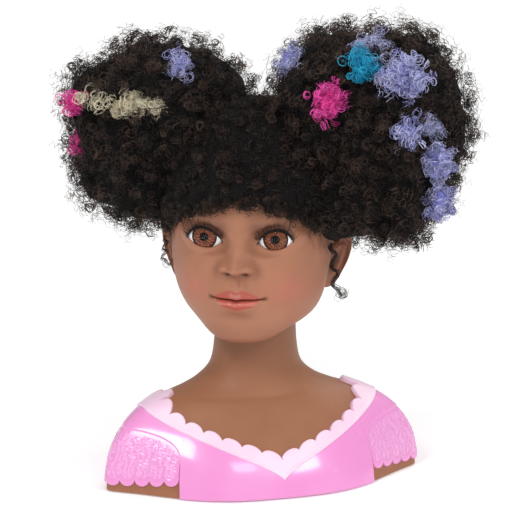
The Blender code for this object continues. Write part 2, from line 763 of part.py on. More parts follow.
def make_hair(parts, cutters, head, looks):
    def cutter(name, shape):
        return mesh_object(name, shape, cutters, parent=head)

    scalp = cutter("scalp", head_form([SCALP_GAP] * 4))
    ears = [cutter(f"ear_space_{name}", make_ear(side, 0.001)) for name, side in SIDES]
    under = cutter("below_hairline", below_hairline())
    front = cutter("fringe_block", box((-0.12, -0.12, 0.0), (0.12, -0.030, HEAD_TOP - 0.018)))
    beyond = cutter(
        "crown_front_block", box((-0.13, -0.13, -0.01), (0.13, -0.030 + GAP, HEAD_TOP - 0.018 + GAP))
    )
    crown = mesh_object("hair_crown", hair_form(), parts, looks["hair"], head)
    fringe = mesh_object("hair_fringe", hair_form(), parts, looks["hair"], head)
    boolean(fringe, front, "INTERSECT")
    boolean(crown, beyond)
    for piece in (crown, fringe):
        boolean(piece, under)
        boolean(piece, scalp)
    for ear in ears:
        boolean(crown, ear)
    hair_space = cutter("hair_space", hair_form(GAP))
    for name, side in SIDES:
        centre, radii = puff_of(side)
        puff = mesh_object(
            f"hair_puff_{name}", ellipsoid(radii, centre, (0, 0, 0), 22, 13), parts, looks["hair"], head
        )
        boolean(puff, hair_space)
        inner = side * 0.010
        outer = side * (HEAD_WIDTH / 2 + 0.012)
        clear = box(
            (min(inner, outer), -0.09, 0.10), (max(inner, outer), 0.09, HAIRLINE_EAR + 0.004)
        )
        boolean(puff, cutter(f"ear_clearance_{name}", clear))
        tie = mesh_object(f"hair_tie_{name}", tie_ring(side), parts, looks["tie"], head)
        tie_space = cutter(f"tie_space_{name}", tie_ring(side, GAP))
        boolean(puff, tie_space)
        boolean(crown, tie_space)
        for lock in LOCKS:
            if lock[1] == side:
                boolean(puff, cutter(f"{lock[0]}_space", lock_shape(lock, GAP)))
    for lock in LOCKS:
        colour = lock[0].split("_")[1]
        mesh_object(lock[0], lock_shape(lock), parts, looks[colour], head)
    for name, side in SIDES:
        make_side_lock(name, side, parts, head, looks["hair"])


def make_side_lock(name, side, parts, head, look):
    """A loose curl that hangs in front of the ear."""
    curve = bpy.data.curves.new(f"side_lock_{name}", "CURVE")
    curve.dimensions = "3D"
    curve.bevel_depth = SIDE_LOCK_RADIUS
    curve.bevel_resolution = 2
    curve.use_fill_caps = True
    points = 10
    spline = curve.splines.new("POLY")
    spline.points.add(points - 1)
    top = HAIRLINE_EAR - 0.004
    for i, point in enumerate(spline.points):
        f = i / (points - 1)
        x = side * (HEAD_WIDTH / 2 + SIDE_LOCK_RADIUS + 0.0012 + 0.0025 * f)
        y = -0.014 + 0.0025 * math.sin(2.5 * math.pi * f)
        point.co = (x, y, top - 0.034 * f, 1.0)
    add_object(f"side_lock_{name}", curve, parts, look, head)


def main():
    clear_scene()
    parts = new_collection("styling_head")
    cutters = new_collection("cutters", hidden=True)
    skin = material("skin", (0.36, 0.17, 0.10), 0.5)
    pink = material("pink_gloss", (1.0, 0.36, 0.74), 0.15)
    trim = material("pale_trim", (0.97, 0.78, 0.89), 0.4)
    plastic = material("base_plastic", (0.75, 0.72, 0.70), 0.5)
    rubber = material("grey_rubber", (0.08, 0.08, 0.08), 0.8)
    steel = material("zinc_steel", (0.7, 0.7, 0.72), 0.35, 1.0)
    nylon = material("white_nylon", (0.85, 0.84, 0.80), 0.4)
    looks = {
        "white": material("eye_white", (0.95, 0.94, 0.92), 0.1),
        "iris": material("iris_brown", (0.22, 0.09, 0.03), 0.3),
        "clear": material("clear_acrylic", (0.95, 0.95, 0.95), 0.05),
        "cup": nylon,
        "lash": material("lash_black", (0.01, 0.01, 0.01), 0.6),
        "hair": material("hair_dark", (0.015, 0.010, 0.008), 0.6),
        "tie": material("tie_black", (0.02, 0.02, 0.02), 0.8),
        "blonde": material("hair_blonde", (0.72, 0.62, 0.42), 0.6),
        "magenta": material("hair_magenta", (0.85, 0.04, 0.35), 0.6),
        "lilac": material("hair_lilac", (0.40, 0.40, 0.85), 0.6),
        "teal": material("hair_teal", (0.02, 0.45, 0.65), 0.6),
    }
    make_bust_shell(parts, cutters, skin)
    make_blouse(parts, cutters, pink, trim)
    make_base(parts, cutters, plastic, rubber, steel)
    make_neck_joint(parts, nylon, nylon)
    head = add_object("head_turn_axis", None, parts)
    head.rotation_euler = (0.0, 0.0, HEAD_TURN_AT_REST)
    make_head(parts, cutters, head, skin)
    make_neck_ring(parts, head, nylon)
    make_eyes(parts, cutters, head, looks)
    make_hair(parts, cutters, head, looks)


main()
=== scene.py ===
import math

import bpy
import numpy as np
from mathutils import Matrix, Vector


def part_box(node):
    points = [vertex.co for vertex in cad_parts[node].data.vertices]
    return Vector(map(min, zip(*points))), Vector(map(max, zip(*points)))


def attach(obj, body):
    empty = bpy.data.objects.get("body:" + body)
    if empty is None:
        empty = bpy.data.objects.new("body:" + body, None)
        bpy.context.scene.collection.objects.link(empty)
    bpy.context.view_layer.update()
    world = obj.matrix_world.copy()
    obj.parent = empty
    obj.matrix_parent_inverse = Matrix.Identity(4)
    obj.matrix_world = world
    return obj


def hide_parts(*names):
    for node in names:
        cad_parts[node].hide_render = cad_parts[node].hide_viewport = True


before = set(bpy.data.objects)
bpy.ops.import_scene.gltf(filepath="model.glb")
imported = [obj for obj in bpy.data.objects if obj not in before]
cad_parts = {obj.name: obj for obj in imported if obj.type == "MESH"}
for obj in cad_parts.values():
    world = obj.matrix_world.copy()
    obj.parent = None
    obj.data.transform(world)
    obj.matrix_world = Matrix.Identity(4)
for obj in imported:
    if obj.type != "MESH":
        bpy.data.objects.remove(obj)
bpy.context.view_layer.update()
dice = np.random.default_rng(11)
headTurn = math.radians(-28.4)
sideNames = {-1: "Left", 1: "Right"}


# Numbers and shapes


def colour(red, green, blue):
    # an everyday 0 to 255 colour as a linear one
    def linear(value):
        value /= 255
        return value / 12.92 if value < 0.04045 else ((value + 0.055) / 1.055) ** 2.4

    return (linear(red), linear(green), linear(blue), 1.0)


def smooth(low, high, value):
    share = np.clip((value - low) / (high - low), 0, 1)
    return share * share * (3 - 2 * share)


def bell(x, z, middleX, middleZ, sizeX, sizeZ):
    return np.exp(-(((x - middleX) / sizeX) ** 2) - ((z - middleZ) / sizeZ) ** 2)


def unit(vectors):
    return vectors / np.maximum(np.linalg.norm(vectors, axis=-1, keepdims=True), 1e-12)


def ripple(points, size, seed, count=7):
    # soft random waves about this far apart, from -1 to 1
    waves = np.random.default_rng(seed)
    total = np.zeros(points.shape[:-1])
    for _ in range(count):
        direction = unit(waves.normal(size=3)) * (2 * math.pi / size) * waves.uniform(0.7, 1.35)
        total += np.cos(points @ direction + waves.uniform(0, 2 * math.pi))
    return total / count**0.5


def gridFaces(rows, columns, wrap, first=0, flip=False):
    # four-cornered faces over a grid of points, which may close on itself sideways
    index = first + np.arange(rows * columns).reshape(rows, columns)
    after = np.roll(index, -1, axis=1) if wrap else index[:, 1:]
    here = index if wrap else index[:, :-1]
    faces = np.stack([here[:-1], after[:-1], after[1:], here[1:]], axis=-1).reshape(-1, 4)
    return faces[:, ::-1] if flip else faces


def poleFaces(rows, columns):
    # the faces of a grid of rings whose ends are closed by the next two points
    index = np.arange(rows * columns).reshape(rows, columns)
    after = np.roll(index, -1, axis=1)
    low = np.full(columns, rows * columns)
    fans = [np.stack([after[0], index[0], low], axis=-1)]
    fans.append(np.stack([index[-1], after[-1], low + 1], axis=-1))
    return gridFaces(rows, columns, True), np.concatenate(fans)


def makePiece(name, points, quads, triangles=None):
    points = np.asarray(points, float).reshape(-1, 3)
    triangles = np.zeros((0, 3), int) if triangles is None else np.asarray(triangles, int)
    quads = np.asarray(quads, int).reshape(-1, 4)
    mesh = bpy.data.meshes.new(name)
    corners = np.concatenate([quads.ravel(), triangles.ravel()])
    sizes = np.concatenate([np.full(len(quads), 4), np.full(len(triangles), 3)])
    mesh.vertices.add(len(points))
    mesh.vertices.foreach_set("co", points.astype(np.float32).ravel())
    mesh.loops.add(len(corners))
    mesh.loops.foreach_set("vertex_index", corners.astype(np.int32))
    mesh.polygons.add(len(sizes))
    mesh.polygons.foreach_set("loop_start", (np.cumsum(sizes) - sizes).astype(np.int32))
    mesh.update(calc_edges=True)
    piece = bpy.data.objects.new(name, mesh)
    bpy.context.scene.collection.objects.link(piece)
    return piece


def slab(name, outer, inner, wrap):
    # a closed body between two grids of the same size
    rows, columns = outer.shape[:2]
    count = rows * columns
    faces = [gridFaces(rows, columns, wrap), gridFaces(rows, columns, wrap, count, True)]
    index = np.arange(count).reshape(rows, columns)
    edges = [(index[0], False), (index[-1], True)]
    for edge, flip in edges:
        after = np.roll(edge, -1) if wrap else edge[1:]
        here = edge if wrap else edge[:-1]
        strip = np.stack([here, here + count, after + count, after], axis=-1)
        faces.append(strip[:, ::-1] if flip else strip)
    if not wrap:
        for edge, flip in ((index[:, 0], True), (index[:, -1], False)):
            strip = np.stack([edge[:-1], edge[:-1] + count, edge[1:] + count, edge[1:]], axis=-1)
            faces.append(strip[:, ::-1] if flip else strip)
    points = np.concatenate([outer.reshape(-1, 3), inner.reshape(-1, 3)])
    return makePiece(name, points, np.concatenate(faces))


def pointsOf(piece):
    points = np.zeros(len(piece.data.vertices) * 3, np.float32)
    piece.data.vertices.foreach_get("co", points)
    return points.reshape(-1, 3).astype(float)


def selectOnly(piece):
    bpy.ops.object.select_all(action="DESELECT")
    piece.select_set(True)
    bpy.context.view_layer.objects.active = piece


def paintPoints(piece, name, colours):
    layer = piece.data.color_attributes.new(name, "FLOAT_COLOR", "POINT")
    values = np.ones((len(piece.data.vertices), 4), np.float32)
    values[:, : colours.shape[-1]] = colours
    layer.data.foreach_set("color", values.ravel())


def finishPiece(piece, body, look, nodes=(), angle=None):
    # material, shading and body, after a head piece's millimetres and its turn
    if body == "head":
        piece.data.transform(Matrix.Rotation(headTurn, 4, "Z") @ Matrix.Scale(0.001, 4))
    piece.data.materials.clear()
    piece.data.materials.append(look.material)
    selectOnly(piece)
    if angle is None:
        bpy.ops.object.shade_smooth()
    else:
        bpy.ops.object.shade_smooth_by_angle(angle=math.radians(angle))
    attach(piece, body)
    if nodes:
        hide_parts(*nodes)
    return piece


# Materials


class Wire:
    # a node's output, which sums turn into further nodes

    def __init__(self, look, socket):
        self.look = look
        self.socket = socket

    def calc(self, operation, first, second):
        return self.look.node("ShaderNodeMath", {"operation": operation}, {0: first, 1: second})

    def __add__(self, other):
        return self.calc("ADD", self, other)

    def __sub__(self, other):
        return self.calc("SUBTRACT", self, other)

    def __mul__(self, other):
        return self.calc("MULTIPLY", self, other)

    def __rsub__(self, other):
        return self.calc("SUBTRACT", other, self)

    __radd__ = __add__
    __rmul__ = __mul__

    def step(self, low, high):
        return self.look.node(
            "ShaderNodeMapRange",
            {"interpolation_type": "SMOOTHSTEP"},
            {"Value": self, "From Min": low, "From Max": high},
        )


class Look:
    # one material with its shader, and short ways to add nodes to it

    def __init__(self, name, values):
        self.material = bpy.data.materials.new(name)
        self.material.use_nodes = True
        self.tree = self.material.node_tree
        self.shader = self.tree.nodes["Principled BSDF"]
        self.set(values)

    def set(self, values):
        for name, value in values.items():
            self.feed(self.shader.inputs[name], value)

    def feed(self, socket, value):
        if isinstance(value, Wire):
            self.tree.links.new(value.socket, socket)
        else:
            socket.default_value = value

    def node(self, kind, settings, inputs, output=0):
        made = self.tree.nodes.new(kind)
        for name, value in settings.items():
            setattr(made, name, value)
        for name, value in inputs.items():
            self.feed(made.inputs[name], value)
        return Wire(self, made.outputs[output])

    def place(self):
        return self.node("ShaderNodeTexCoord", {}, {}, "Object")

    def noise(self, scale, detail=2.0, place=None, roughness=0.5):
        inputs = {
            "Vector": place or self.place(),
            "Scale": scale,
            "Detail": detail,
            "Roughness": roughness,
        }
        return self.node("ShaderNodeTexNoise", {}, inputs)

    def mix(self, share, first, second, blend="MIX"):
        settings = {"data_type": "RGBA", "blend_type": blend}
        return self.node("ShaderNodeMix", settings, {0: share, 6: first, 7: second}, 2)

    def attribute(self, name, output="Color"):
        return self.node("ShaderNodeAttribute", {"attribute_name": name}, {}, output)

    def bump(self, height, strength, distance):
        inputs = {"Height": height, "Strength": strength, "Distance": distance}
        return self.node("ShaderNodeBump", {}, inputs)


def plainLook(name, base, other, roughness, extra=None):
    # a moulded finish: two close tones in soft patches and a faint grain
    look = Look(name, {"Roughness": roughness, **(extra or {})})
    patches = look.noise(60).step(0.3, 0.7)
    look.set({"Base Color": look.mix(patches, base, other)})
    look.set({"Normal": look.bump(look.noise(3600, 3), 0.08, 0.0002)})
    return look


print("materials")

skinLook = Look(
    "warmVinyl",
    {
        "Subsurface Weight": 0.10,
        "Subsurface Scale": 0.004,
        "Subsurface Radius": (1.0, 0.45, 0.3),
        "Specular IOR Level": 0.36,
    },
)
skinTone = skinLook.attribute("tint")
skinGloss = skinLook.attribute("tint", "Alpha")
skinSpots = skinLook.noise(90, 3).step(0.25, 0.75)
skinLook.set(
    {
        "Base Color": skinLook.mix(
            skinSpots * 0.10, skinTone, colour(120, 66, 48)
        ),
        "Roughness": 0.46 - skinGloss * 0.30 + skinLook.noise(500) * 0.05,
        "Coat Weight": skinGloss * 0.7,
        "Coat Roughness": 0.08,
        "Normal": skinLook.bump(skinLook.noise(2600, 2), 0.05, 0.0002),
    }
)

pinkLook = Look("glossPink", {"Coat Weight": 0.9, "Coat Roughness": 0.11})
pinkPatch = pinkLook.noise(25, 2).step(0.3, 0.7)
pinkLook.set(
    {
        "Base Color": pinkLook.mix(pinkPatch, colour(246, 158, 219), colour(244, 150, 214)),
        "Roughness": pinkLook.noise(120, 2) * 0.08 + 0.22,
    }
)

lacePink = Look("lacePink", {"Coat Weight": 0.6, "Coat Roughness": 0.14})
laceWarp = lacePink.noise(150, 2)
laceLines = lacePink.node(
    "ShaderNodeTexWave",
    {"wave_type": "RINGS", "rings_direction": "Y"},
    {"Vector": lacePink.place(), "Scale": 110, "Distortion": 9.0, "Detail": 2.0, "Detail Scale": 1.4},
    1,
)
laceHold = lacePink.attribute("lace", "Alpha")
lacePink.set(
    {
        "Base Color": lacePink.mix(
            laceLines * laceHold * 0.5, colour(243, 154, 216), colour(252, 192, 236)
        ),
        "Roughness": laceWarp * 0.10 + 0.2,
        "Normal": lacePink.bump(laceLines * laceHold, 0.35, 0.0004),
    }
)

trimLook = Look("palePink", {"Coat Weight": 0.3, "Coat Roughness": 0.25})
trimDots = trimLook.node(
    "ShaderNodeTexVoronoi",
    {"feature": "SMOOTH_F1"},
    {"Vector": trimLook.place(), "Scale": 520, "Smoothness": 0.6},
)
trimLook.set(
    {
        "Base Color": trimLook.mix(
            trimLook.noise(60, 2).step(0.3, 0.7), colour(253, 222, 241), colour(251, 213, 238)
        ),
        "Roughness": trimDots * 0.2 + 0.36,
        "Normal": trimLook.bump(trimDots, 0.25, 0.0005),
    }
)


def hairLook(name, dark, light, roughness=0.42):
    look = Look(name, {"Roughness": roughness, "Specular IOR Level": 0.32})
    shade = look.attribute("shade", "Fac")
    fleck = look.noise(900, 1) * 0.25 - 0.12
    look.set({"Base Color": look.mix(shade + fleck, dark, light)})
    return look


darkHair = hairLook("darkHair", colour(8, 6, 5), colour(96, 72, 60))
lashLook = hairLook("lashBlack", colour(8, 6, 6), colour(24, 18, 16), 0.5)

coreLook = Look("hairCore", {"Roughness": 0.75, "Specular IOR Level": 0.2})
coreCurl = coreLook.noise(420, 4, None, 0.7)
coreLook.set(
    {
        "Base Color": coreLook.mix(coreCurl.step(0.4, 0.75), colour(5, 4, 4), colour(24, 19, 17)),
        "Normal": coreLook.bump(coreCurl, 0.9, 0.004),
    }
)


# The shoulder bust

print("bust")

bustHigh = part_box("bust_shell")[1]
bustValues = {
    "shoulder": bustHigh.x,
    "neck": 0.026,
    "neckTop": bustHigh.z - 0.0006,
    "wall": 0.0025,
    "columns": 228,
    "levels": 100,
}
# height, share of the way out to the shoulders, widest line, front depth, back depth, chest shape
bustRows = np.array(
    [
        (0.0008, 1.00, -0.0200, 0.0680, 0.0300, 1.00),
        (0.0126, 0.99, -0.0200, 0.0640, 0.0330, 1.00),
        (0.0244, 0.95, -0.0190, 0.0575, 0.0350, 0.95),
        (0.0350, 0.87, -0.0170, 0.0495, 0.0350, 0.85),
        (0.0431, 0.765, -0.0140, 0.0425, 0.0340, 0.70),
        (0.0493, 0.64, -0.0110, 0.0375, 0.0330, 0.55),
        (0.0537, 0.50, -0.0080, 0.0340, 0.0315, 0.40),
        (0.0574, 0.345, -0.0050, 0.0310, 0.0300, 0.25),
        (0.0630, 0.18, -0.0020, 0.0288, 0.0287, 0.10),
        (0.0720, 0.054, -0.0006, 0.0268, 0.0268, 0.00),
        (0.0855, 0.011, -0.0001, 0.0262, 0.0262, 0.00),
        (bustValues["neckTop"], 0.0, 0.0, 0.0260, 0.0260, 0.00),
    ]
)
bustRows[:, 1] = bustValues["neck"] + (bustValues["shoulder"] - bustValues["neck"]) * bustRows[:, 1]


def bustRow(share):
    last = len(bustRows) - 1
    place = np.clip(share, 0, 1) * last
    index = np.minimum(place.astype(int), last - 1)
    part = (place - index)[..., None]
    before, low, high, after = (
        bustRows[np.clip(index + step, 0, last)] for step in (-1, 0, 1, 2)
    )
    return 0.5 * (
        2 * low
        + (high - before) * part
        + (2 * before - 5 * low + 4 * high - after) * part**2
        + (3 * low - before - 3 * high + after) * part**3
    )


def bustPoint(angle, share):
    height, width, middle, front, back, chest = np.moveaxis(bustRow(share), -1, 0)
    across = np.abs(np.cos(angle))
    plain = np.abs(np.sin(angle))
    chestShape = 0.78 * np.clip(1 - across**3, 0, 1) ** 2.2
    chestShape += 0.22 * np.sqrt(np.clip(1 - across**8, 0, 1))
    backShape = np.clip(1 - across**2.6, 0, 1) ** 0.62
    inFront = np.sin(angle) < 0
    shape = np.where(inFront, chestShape, backShape)
    depth = plain + (shape - plain) * chest
    y = np.where(inFront, middle - (front + middle) * depth, middle + (back - middle) * depth)
    return np.stack([width * np.cos(angle), y, height], axis=-1)


def bustOffset(angle, share, out):
    step = 0.0015
    along = bustPoint(angle + step, share) - bustPoint(angle - step, share)
    up = bustPoint(angle, np.minimum(share + step, 1)) - bustPoint(angle, np.maximum(share - step, 0))
    return bustPoint(angle, share) + unit(np.cross(along, up)) * np.asarray(out)[..., None]


heightShares = np.linspace(0, 1, 4001)
heightTable = bustRow(heightShares)[:, 0]


def shareAt(height):
    return np.interp(height, heightTable, heightShares)


def makeBust():
    columns = bustValues["columns"]
    angles = np.linspace(0, 2 * math.pi, columns, endpoint=False)
    shares = np.linspace(0, 1, bustValues["levels"])
    angle, share = np.meshgrid(angles, shares)
    outer = bustPoint(angle, share)
    inner = bustOffset(angle, share, np.full(share.shape, -bustValues["wall"]))
    inner[0, :, 2] = outer[0, :, 2]
    ringOut = np.stack([np.cos(angles), np.sin(angles), np.zeros(columns)], axis=-1)
    lip = []
    for radius, height in ((0.0256, 0.0006), (0.0248, 0.0008), (0.0105, 0.0008), (0.0105, -0.0018)):
        ring = ringOut * radius
        ring[:, 2] = bustValues["neckTop"] + height
        lip.append(ring)
    profile = np.concatenate([outer, np.array(lip), inner[::-1][4:]])
    rows = len(profile)
    faces = gridFaces(rows, columns, True)
    index = np.arange(rows * columns).reshape(rows, columns)
    after = np.roll(index, -1, axis=1)
    rim = np.stack([index[-1], after[-1], after[0], index[0]], axis=-1)
    bust = makePiece("bustSkin", profile, np.concatenate([faces, rim]))
    points = pointsOf(bust)
    tone = np.array(colour(164, 110, 78))[None, :3] * np.ones((len(points), 1))
    shadow = smooth(0.055, 0.090, points[:, 2])[:, None]
    tone = tone * (1 - 0.28 * shadow)
    paintPoints(bust, "tint", np.concatenate([tone, np.zeros((len(points), 1))], axis=1))
    finishPiece(bust, "bust", skinLook, ("bust_shell",), 50)


makeBust()


# The moulded blouse

print("blouse")

blouseValues = {
    "proud": 0.0022,
    "sleeveProud": 0.0012,
    "trimProud": 0.0028,
    "lobe": 0.0129,
    "lobeDepth": 0.0034,
    "hemLobe": 0.0098,
    "hemDepth": 0.0044,
    "windowAngle": 52.0,
    "columns": 560,
}


def neckEdge(angle, front, shoulder, back, power):
    # the height of a line round the neckline, lowest at the middle of the chest
    across = np.abs(np.cos(angle))
    ahead = front + (shoulder - front) * across**power
    behind = back + (shoulder - back) * across**2.2
    return np.where(np.sin(angle) < 0, ahead, behind)


def trimOuter(angle):
    return neckEdge(angle, 0.0104, 0.0485, 0.0260, 0.74)


def trimCusps(angle):
    return neckEdge(angle, 0.0224, 0.0530, 0.0350, 1.02)


def lobes(angle, height, lobe, start):
    # how far along each lobe of a scalloped edge, measured on the bust from the start angle
    fine = np.linspace(0, 2 * math.pi, 4001)
    path = bustPoint(fine, shareAt(height(fine)))
    run = np.concatenate([[0], np.cumsum(np.linalg.norm(np.diff(path, axis=0), axis=-1))])
    whole = run[-1]
    first = np.interp(start, fine, run)
    count = max(1, round(whole / lobe))
    length = np.interp(np.mod(angle, 2 * math.pi), fine, run) - first
    part = np.mod(length / (whole / count), 1.0)
    return np.sqrt(np.clip(1 - (2 * part - 1) ** 2, 0, 1))


def rounded(distance, radius):
    # the height of a rounded edge, as a share, at a distance in from it
    part = np.clip(distance / radius, 0, 1)
    return np.sqrt(1 - (1 - part) ** 2)


def sleeveTop(angle):
    fromTip = np.abs((np.degrees(angle) + 90) % 180 - 90) / blouseValues["windowAngle"]
    return 0.020 + 0.018 * np.clip(1 - fromTip**3, 0, 1) ** (1 / 3)


def makeBodice():
    window = math.radians(blouseValues["windowAngle"])
    edges = [window, math.pi - window, math.pi + window, 2 * math.pi - window]
    ring = np.linspace(0, 2 * math.pi, blouseValues["columns"], endpoint=False)
    near = [e + s * d for e in edges for s in (-1, 1) for d in (0.0003, 0.006, 0.012)]
    angles = np.unique(np.concatenate([ring, near]))
    fromTip = np.abs((angles + math.pi / 2) % math.pi - math.pi / 2)
    inWindow = fromTip < window
    low = np.where(inWindow, sleeveTop(angles), 0.0003)
    high = trimOuter(angles) + 0.0015
    steps = np.concatenate([[0, 0.006, 0.014, 0.026], np.linspace(0.045, 1, 30)])
    angle = np.broadcast_to(angles, (len(steps), len(angles)))
    height = low + (high - low) * steps[:, None]
    radius = 0.0011
    lift = rounded(height - low + np.where(inWindow, 0, 0.004), radius)
    beside = np.abs(np.abs(fromTip) - window) * 0.085
    sideLift = rounded(beside + 0.0001, radius)
    blend = 1 - smooth(0.019, 0.0215, height)
    lift = np.where(inWindow, lift, lift * (1 - blend + blend * sideLift))
    outer = bustOffset(angle, shareAt(height), blouseValues["proud"] * lift - 0.0002)
    inner = bustOffset(angle, shareAt(height), np.full(height.shape, -0.0006))
    bodice = slab("bodice", outer, inner, True)
    finishPiece(bodice, "bust", pinkLook, ("blouse_bodice",), 42)


def makeTrim():
    angles = np.linspace(0, 2 * math.pi, 900, endpoint=False)
    lobe = lobes(angles, trimCusps, blouseValues["lobe"], 1.5 * math.pi)
    low = trimOuter(angles)
    high = trimCusps(angles) + blouseValues["lobeDepth"] * lobe
    steps = np.array([0, 0.02, 0.05, 0.1, 0.17, 0.28, 0.42, 0.56, 0.7, 0.82, 0.9, 0.95, 0.98, 1.0])
    angle = np.broadcast_to(angles, (len(steps), len(angles)))
    height = low + (high - low) * steps[:, None]
    share = shareAt(height)
    flat = bustPoint(angle, share)
    across = np.linalg.norm(flat - flat[:1], axis=-1)
    width = np.linalg.norm(flat[-1:] - flat[:1], axis=-1)
    edge = np.minimum(across, width - across)
    lift = 0.35 + 0.65 * rounded(edge, 0.0009)
    ridge = 0.00035 * np.exp(-(((across - 0.0010) / 0.0007) ** 2))
    outer = bustOffset(angle, share, blouseValues["trimProud"] * lift + ridge)
    inner = bustOffset(angle, share, np.full(height.shape, -0.0006))
    trim = slab("neckTrim", outer, inner, True)
    finishPiece(trim, "bust", trimLook, ("neckline_trim",), 50)


def hemLine(angle):
    fromTip = np.abs((np.degrees(angle) + 90) % 180 - 90) / blouseValues["windowAngle"]
    return 0.0090 + 0.0036 * np.clip(fromTip, 0, 1.2) ** 3


def makeSleeve(side):
    window = math.radians(blouseValues["windowAngle"])
    middle = 0.0 if side > 0 else math.pi
    angles = middle + np.linspace(-window + 0.0004, window - 0.0004, 280)
    lobe = lobes(angles, hemLine, blouseValues["hemLobe"], middle + (-window if side > 0 else window))
    low = hemLine(angles) - blouseValues["hemDepth"] * lobe
    high = sleeveTop(angles) + 0.0009
    steps = np.concatenate([[0, 0.008, 0.02, 0.04, 0.06], np.linspace(0.08, 1, 70)])
    angle = np.broadcast_to(angles, (len(steps), len(angles)))
    height = low + (high - low) * steps[:, None]
    share = shareAt(height)
    flat = bustPoint(angle, share)
    fromHem = np.linalg.norm(flat - flat[:1], axis=-1)
    fromTop = high - height
    fromSide = (window - np.abs(angle - middle)) * 0.085
    held = smooth(0.0042, 0.0054, fromHem) * smooth(0.0016, 0.0032, fromTop)
    held *= smooth(0.0016, 0.0032, fromSide + smooth(0.020, 0.024, height) * 0.01)
    warp = ripple(flat, 0.022, 5)
    swirl = ripple(flat, 0.0075, 9 + side)
    waves = np.cos(2 * math.pi * (fromHem + 0.0034 * warp + 0.0013 * swirl) / 0.0023)
    relief = 0.00011 * waves * held + 0.00010 * ripple(flat, 0.0022, 21) * held
    band = 0.00030 * (1 - smooth(0.0036, 0.0046, fromHem))
    lift = 0.3 + 0.7 * rounded(fromHem, 0.0009)
    outer = bustOffset(angle, share, blouseValues["sleeveProud"] * lift + relief + band + 0.0002)
    inner = bustOffset(angle, share, np.full(height.shape, -0.0006))
    name = sideNames[side]
    sleeve = slab("sleeve" + name, outer, inner, False)
    hold = np.concatenate([held.ravel(), held.ravel()])
    paintPoints(sleeve, "lace", np.stack([hold] * 4, axis=-1))
    finishPiece(sleeve, "bust", lacePink, ("sleeve_" + name.lower(),), 60)


makeBodice()
makeTrim()
for side in (-1, 1):
    makeSleeve(side)


# The head, in its own frame: the face looks along -Y, and lengths inside are millimetres

print("head")

headValues = {
    "halfWidth": 53.5,
    "front": 52.0,
    "back": 62.0,
    "chin": 96.5,
    "top": 232.0,
    "eyeX": 22.6,
    "eyeZ": 162.2,
    "openingWidth": 10.9,
    "lidZ": 160.5,
    "openingUp": 7.2,
    "openingDown": 4.9,
    "tilt": 0.11,
    "fine": 0.53,
    "coarse": 2.0,
}
eyeball = {"y": -34.5, "sizes": (15.5, 11.5, 13.5)}
headMiddle = (headValues["chin"] + headValues["top"]) / 2
headHalf = (headValues["top"] - headValues["chin"]) / 2


def headForm(azimuth, level, grow=(0.0, 0.0, 0.0, 0.0)):
    # the plain head: the azimuth runs from the face towards its left ear, the level from chin to top
    sideGrow, frontGrow, backGrow, topGrow = grow
    size = np.clip(np.abs(level), 0, 1)
    below = level < 0
    width = np.where(below, (1 - size**3.3) ** 0.417, (1 - size**2.3) ** 0.5)
    front = np.where(below, (1 - size**10) ** 0.4, (1 - size**2.4) ** 0.5)
    back = np.where(below, (1 - size**2) ** 0.6, (1 - size**2.2) ** 0.5)
    across = np.clip(np.abs(np.sin(azimuth)), 0, 1)
    narrow = 0.19 * smooth(0, 0.45, -level) * (1 - 0.55 * smooth(0.55, 0.85, -level))
    width = width * (1 - narrow * smooth(-0.35, 0.25, -np.cos(azimuth)))
    x = np.sin(azimuth) * width * (headValues["halfWidth"] + sideGrow)
    ahead = -((1 - across**2.2) ** 0.5) * front * (headValues["front"] + frontGrow)
    behind = np.abs(np.cos(azimuth)) * back * (headValues["back"] + backGrow)
    y = np.where(np.cos(azimuth) >= 0, ahead, behind)
    z = headMiddle + level * (headHalf + np.where(below, 0, topGrow))
    return np.stack([x, y, z], axis=-1)


def spaced(path, density, count):
    # places along a path so that neighbours are closer where the density is higher
    steps = np.linalg.norm(np.diff(path, axis=0), axis=-1)
    weight = steps * (density[1:] + density[:-1]) / 2
    run = np.concatenate([[0], np.cumsum(weight)])
    return np.interp(np.linspace(0, run[-1], count), run, np.arange(len(path)))


def eyeSurface(x, z, least=0.06):
    # the front of the eyeball, carried on level past its edge
    side, front, up = eyeball["sizes"]
    across = (np.abs(x) - headValues["eyeX"]) / side
    inside = 1 - across**2 - ((z - headValues["eyeZ"]) / up) ** 2
    return eyeball["y"] - front * np.sqrt(np.clip(inside, least, 1))


def lidHeight(part, upper):
    # the height of a lid's edge over the eye's middle line, from the inner corner at -1 to the outer at 1
    size = np.clip(np.abs(part), 0, 1)
    if upper:
        return headValues["openingUp"] * (1 - size**2.2) ** 0.85 * (1 + 0.05 * part)
    return -headValues["openingDown"] * (1 - size**2.3) ** 0.95 * (1 + 0.04 * part)


def mouthLine(x):
    return 125.5 - 0.8 * np.exp(-((x / 2.8) ** 2)) - 0.3 * bell(np.abs(x), 0 * x, 10, 0, 5, 1)


def lipHeights(x):
    size = np.abs(x)
    upper = 6.0 * np.clip(1 - (size / 15.2) ** 2, 0, 1) ** 0.8
    upper *= 1 - 0.15 * np.exp(-((x / 1.8) ** 2))
    lower = 6.5 * np.clip(1 - (size / 13.9) ** 2, 0, 1) ** 0.65
    return upper, lower


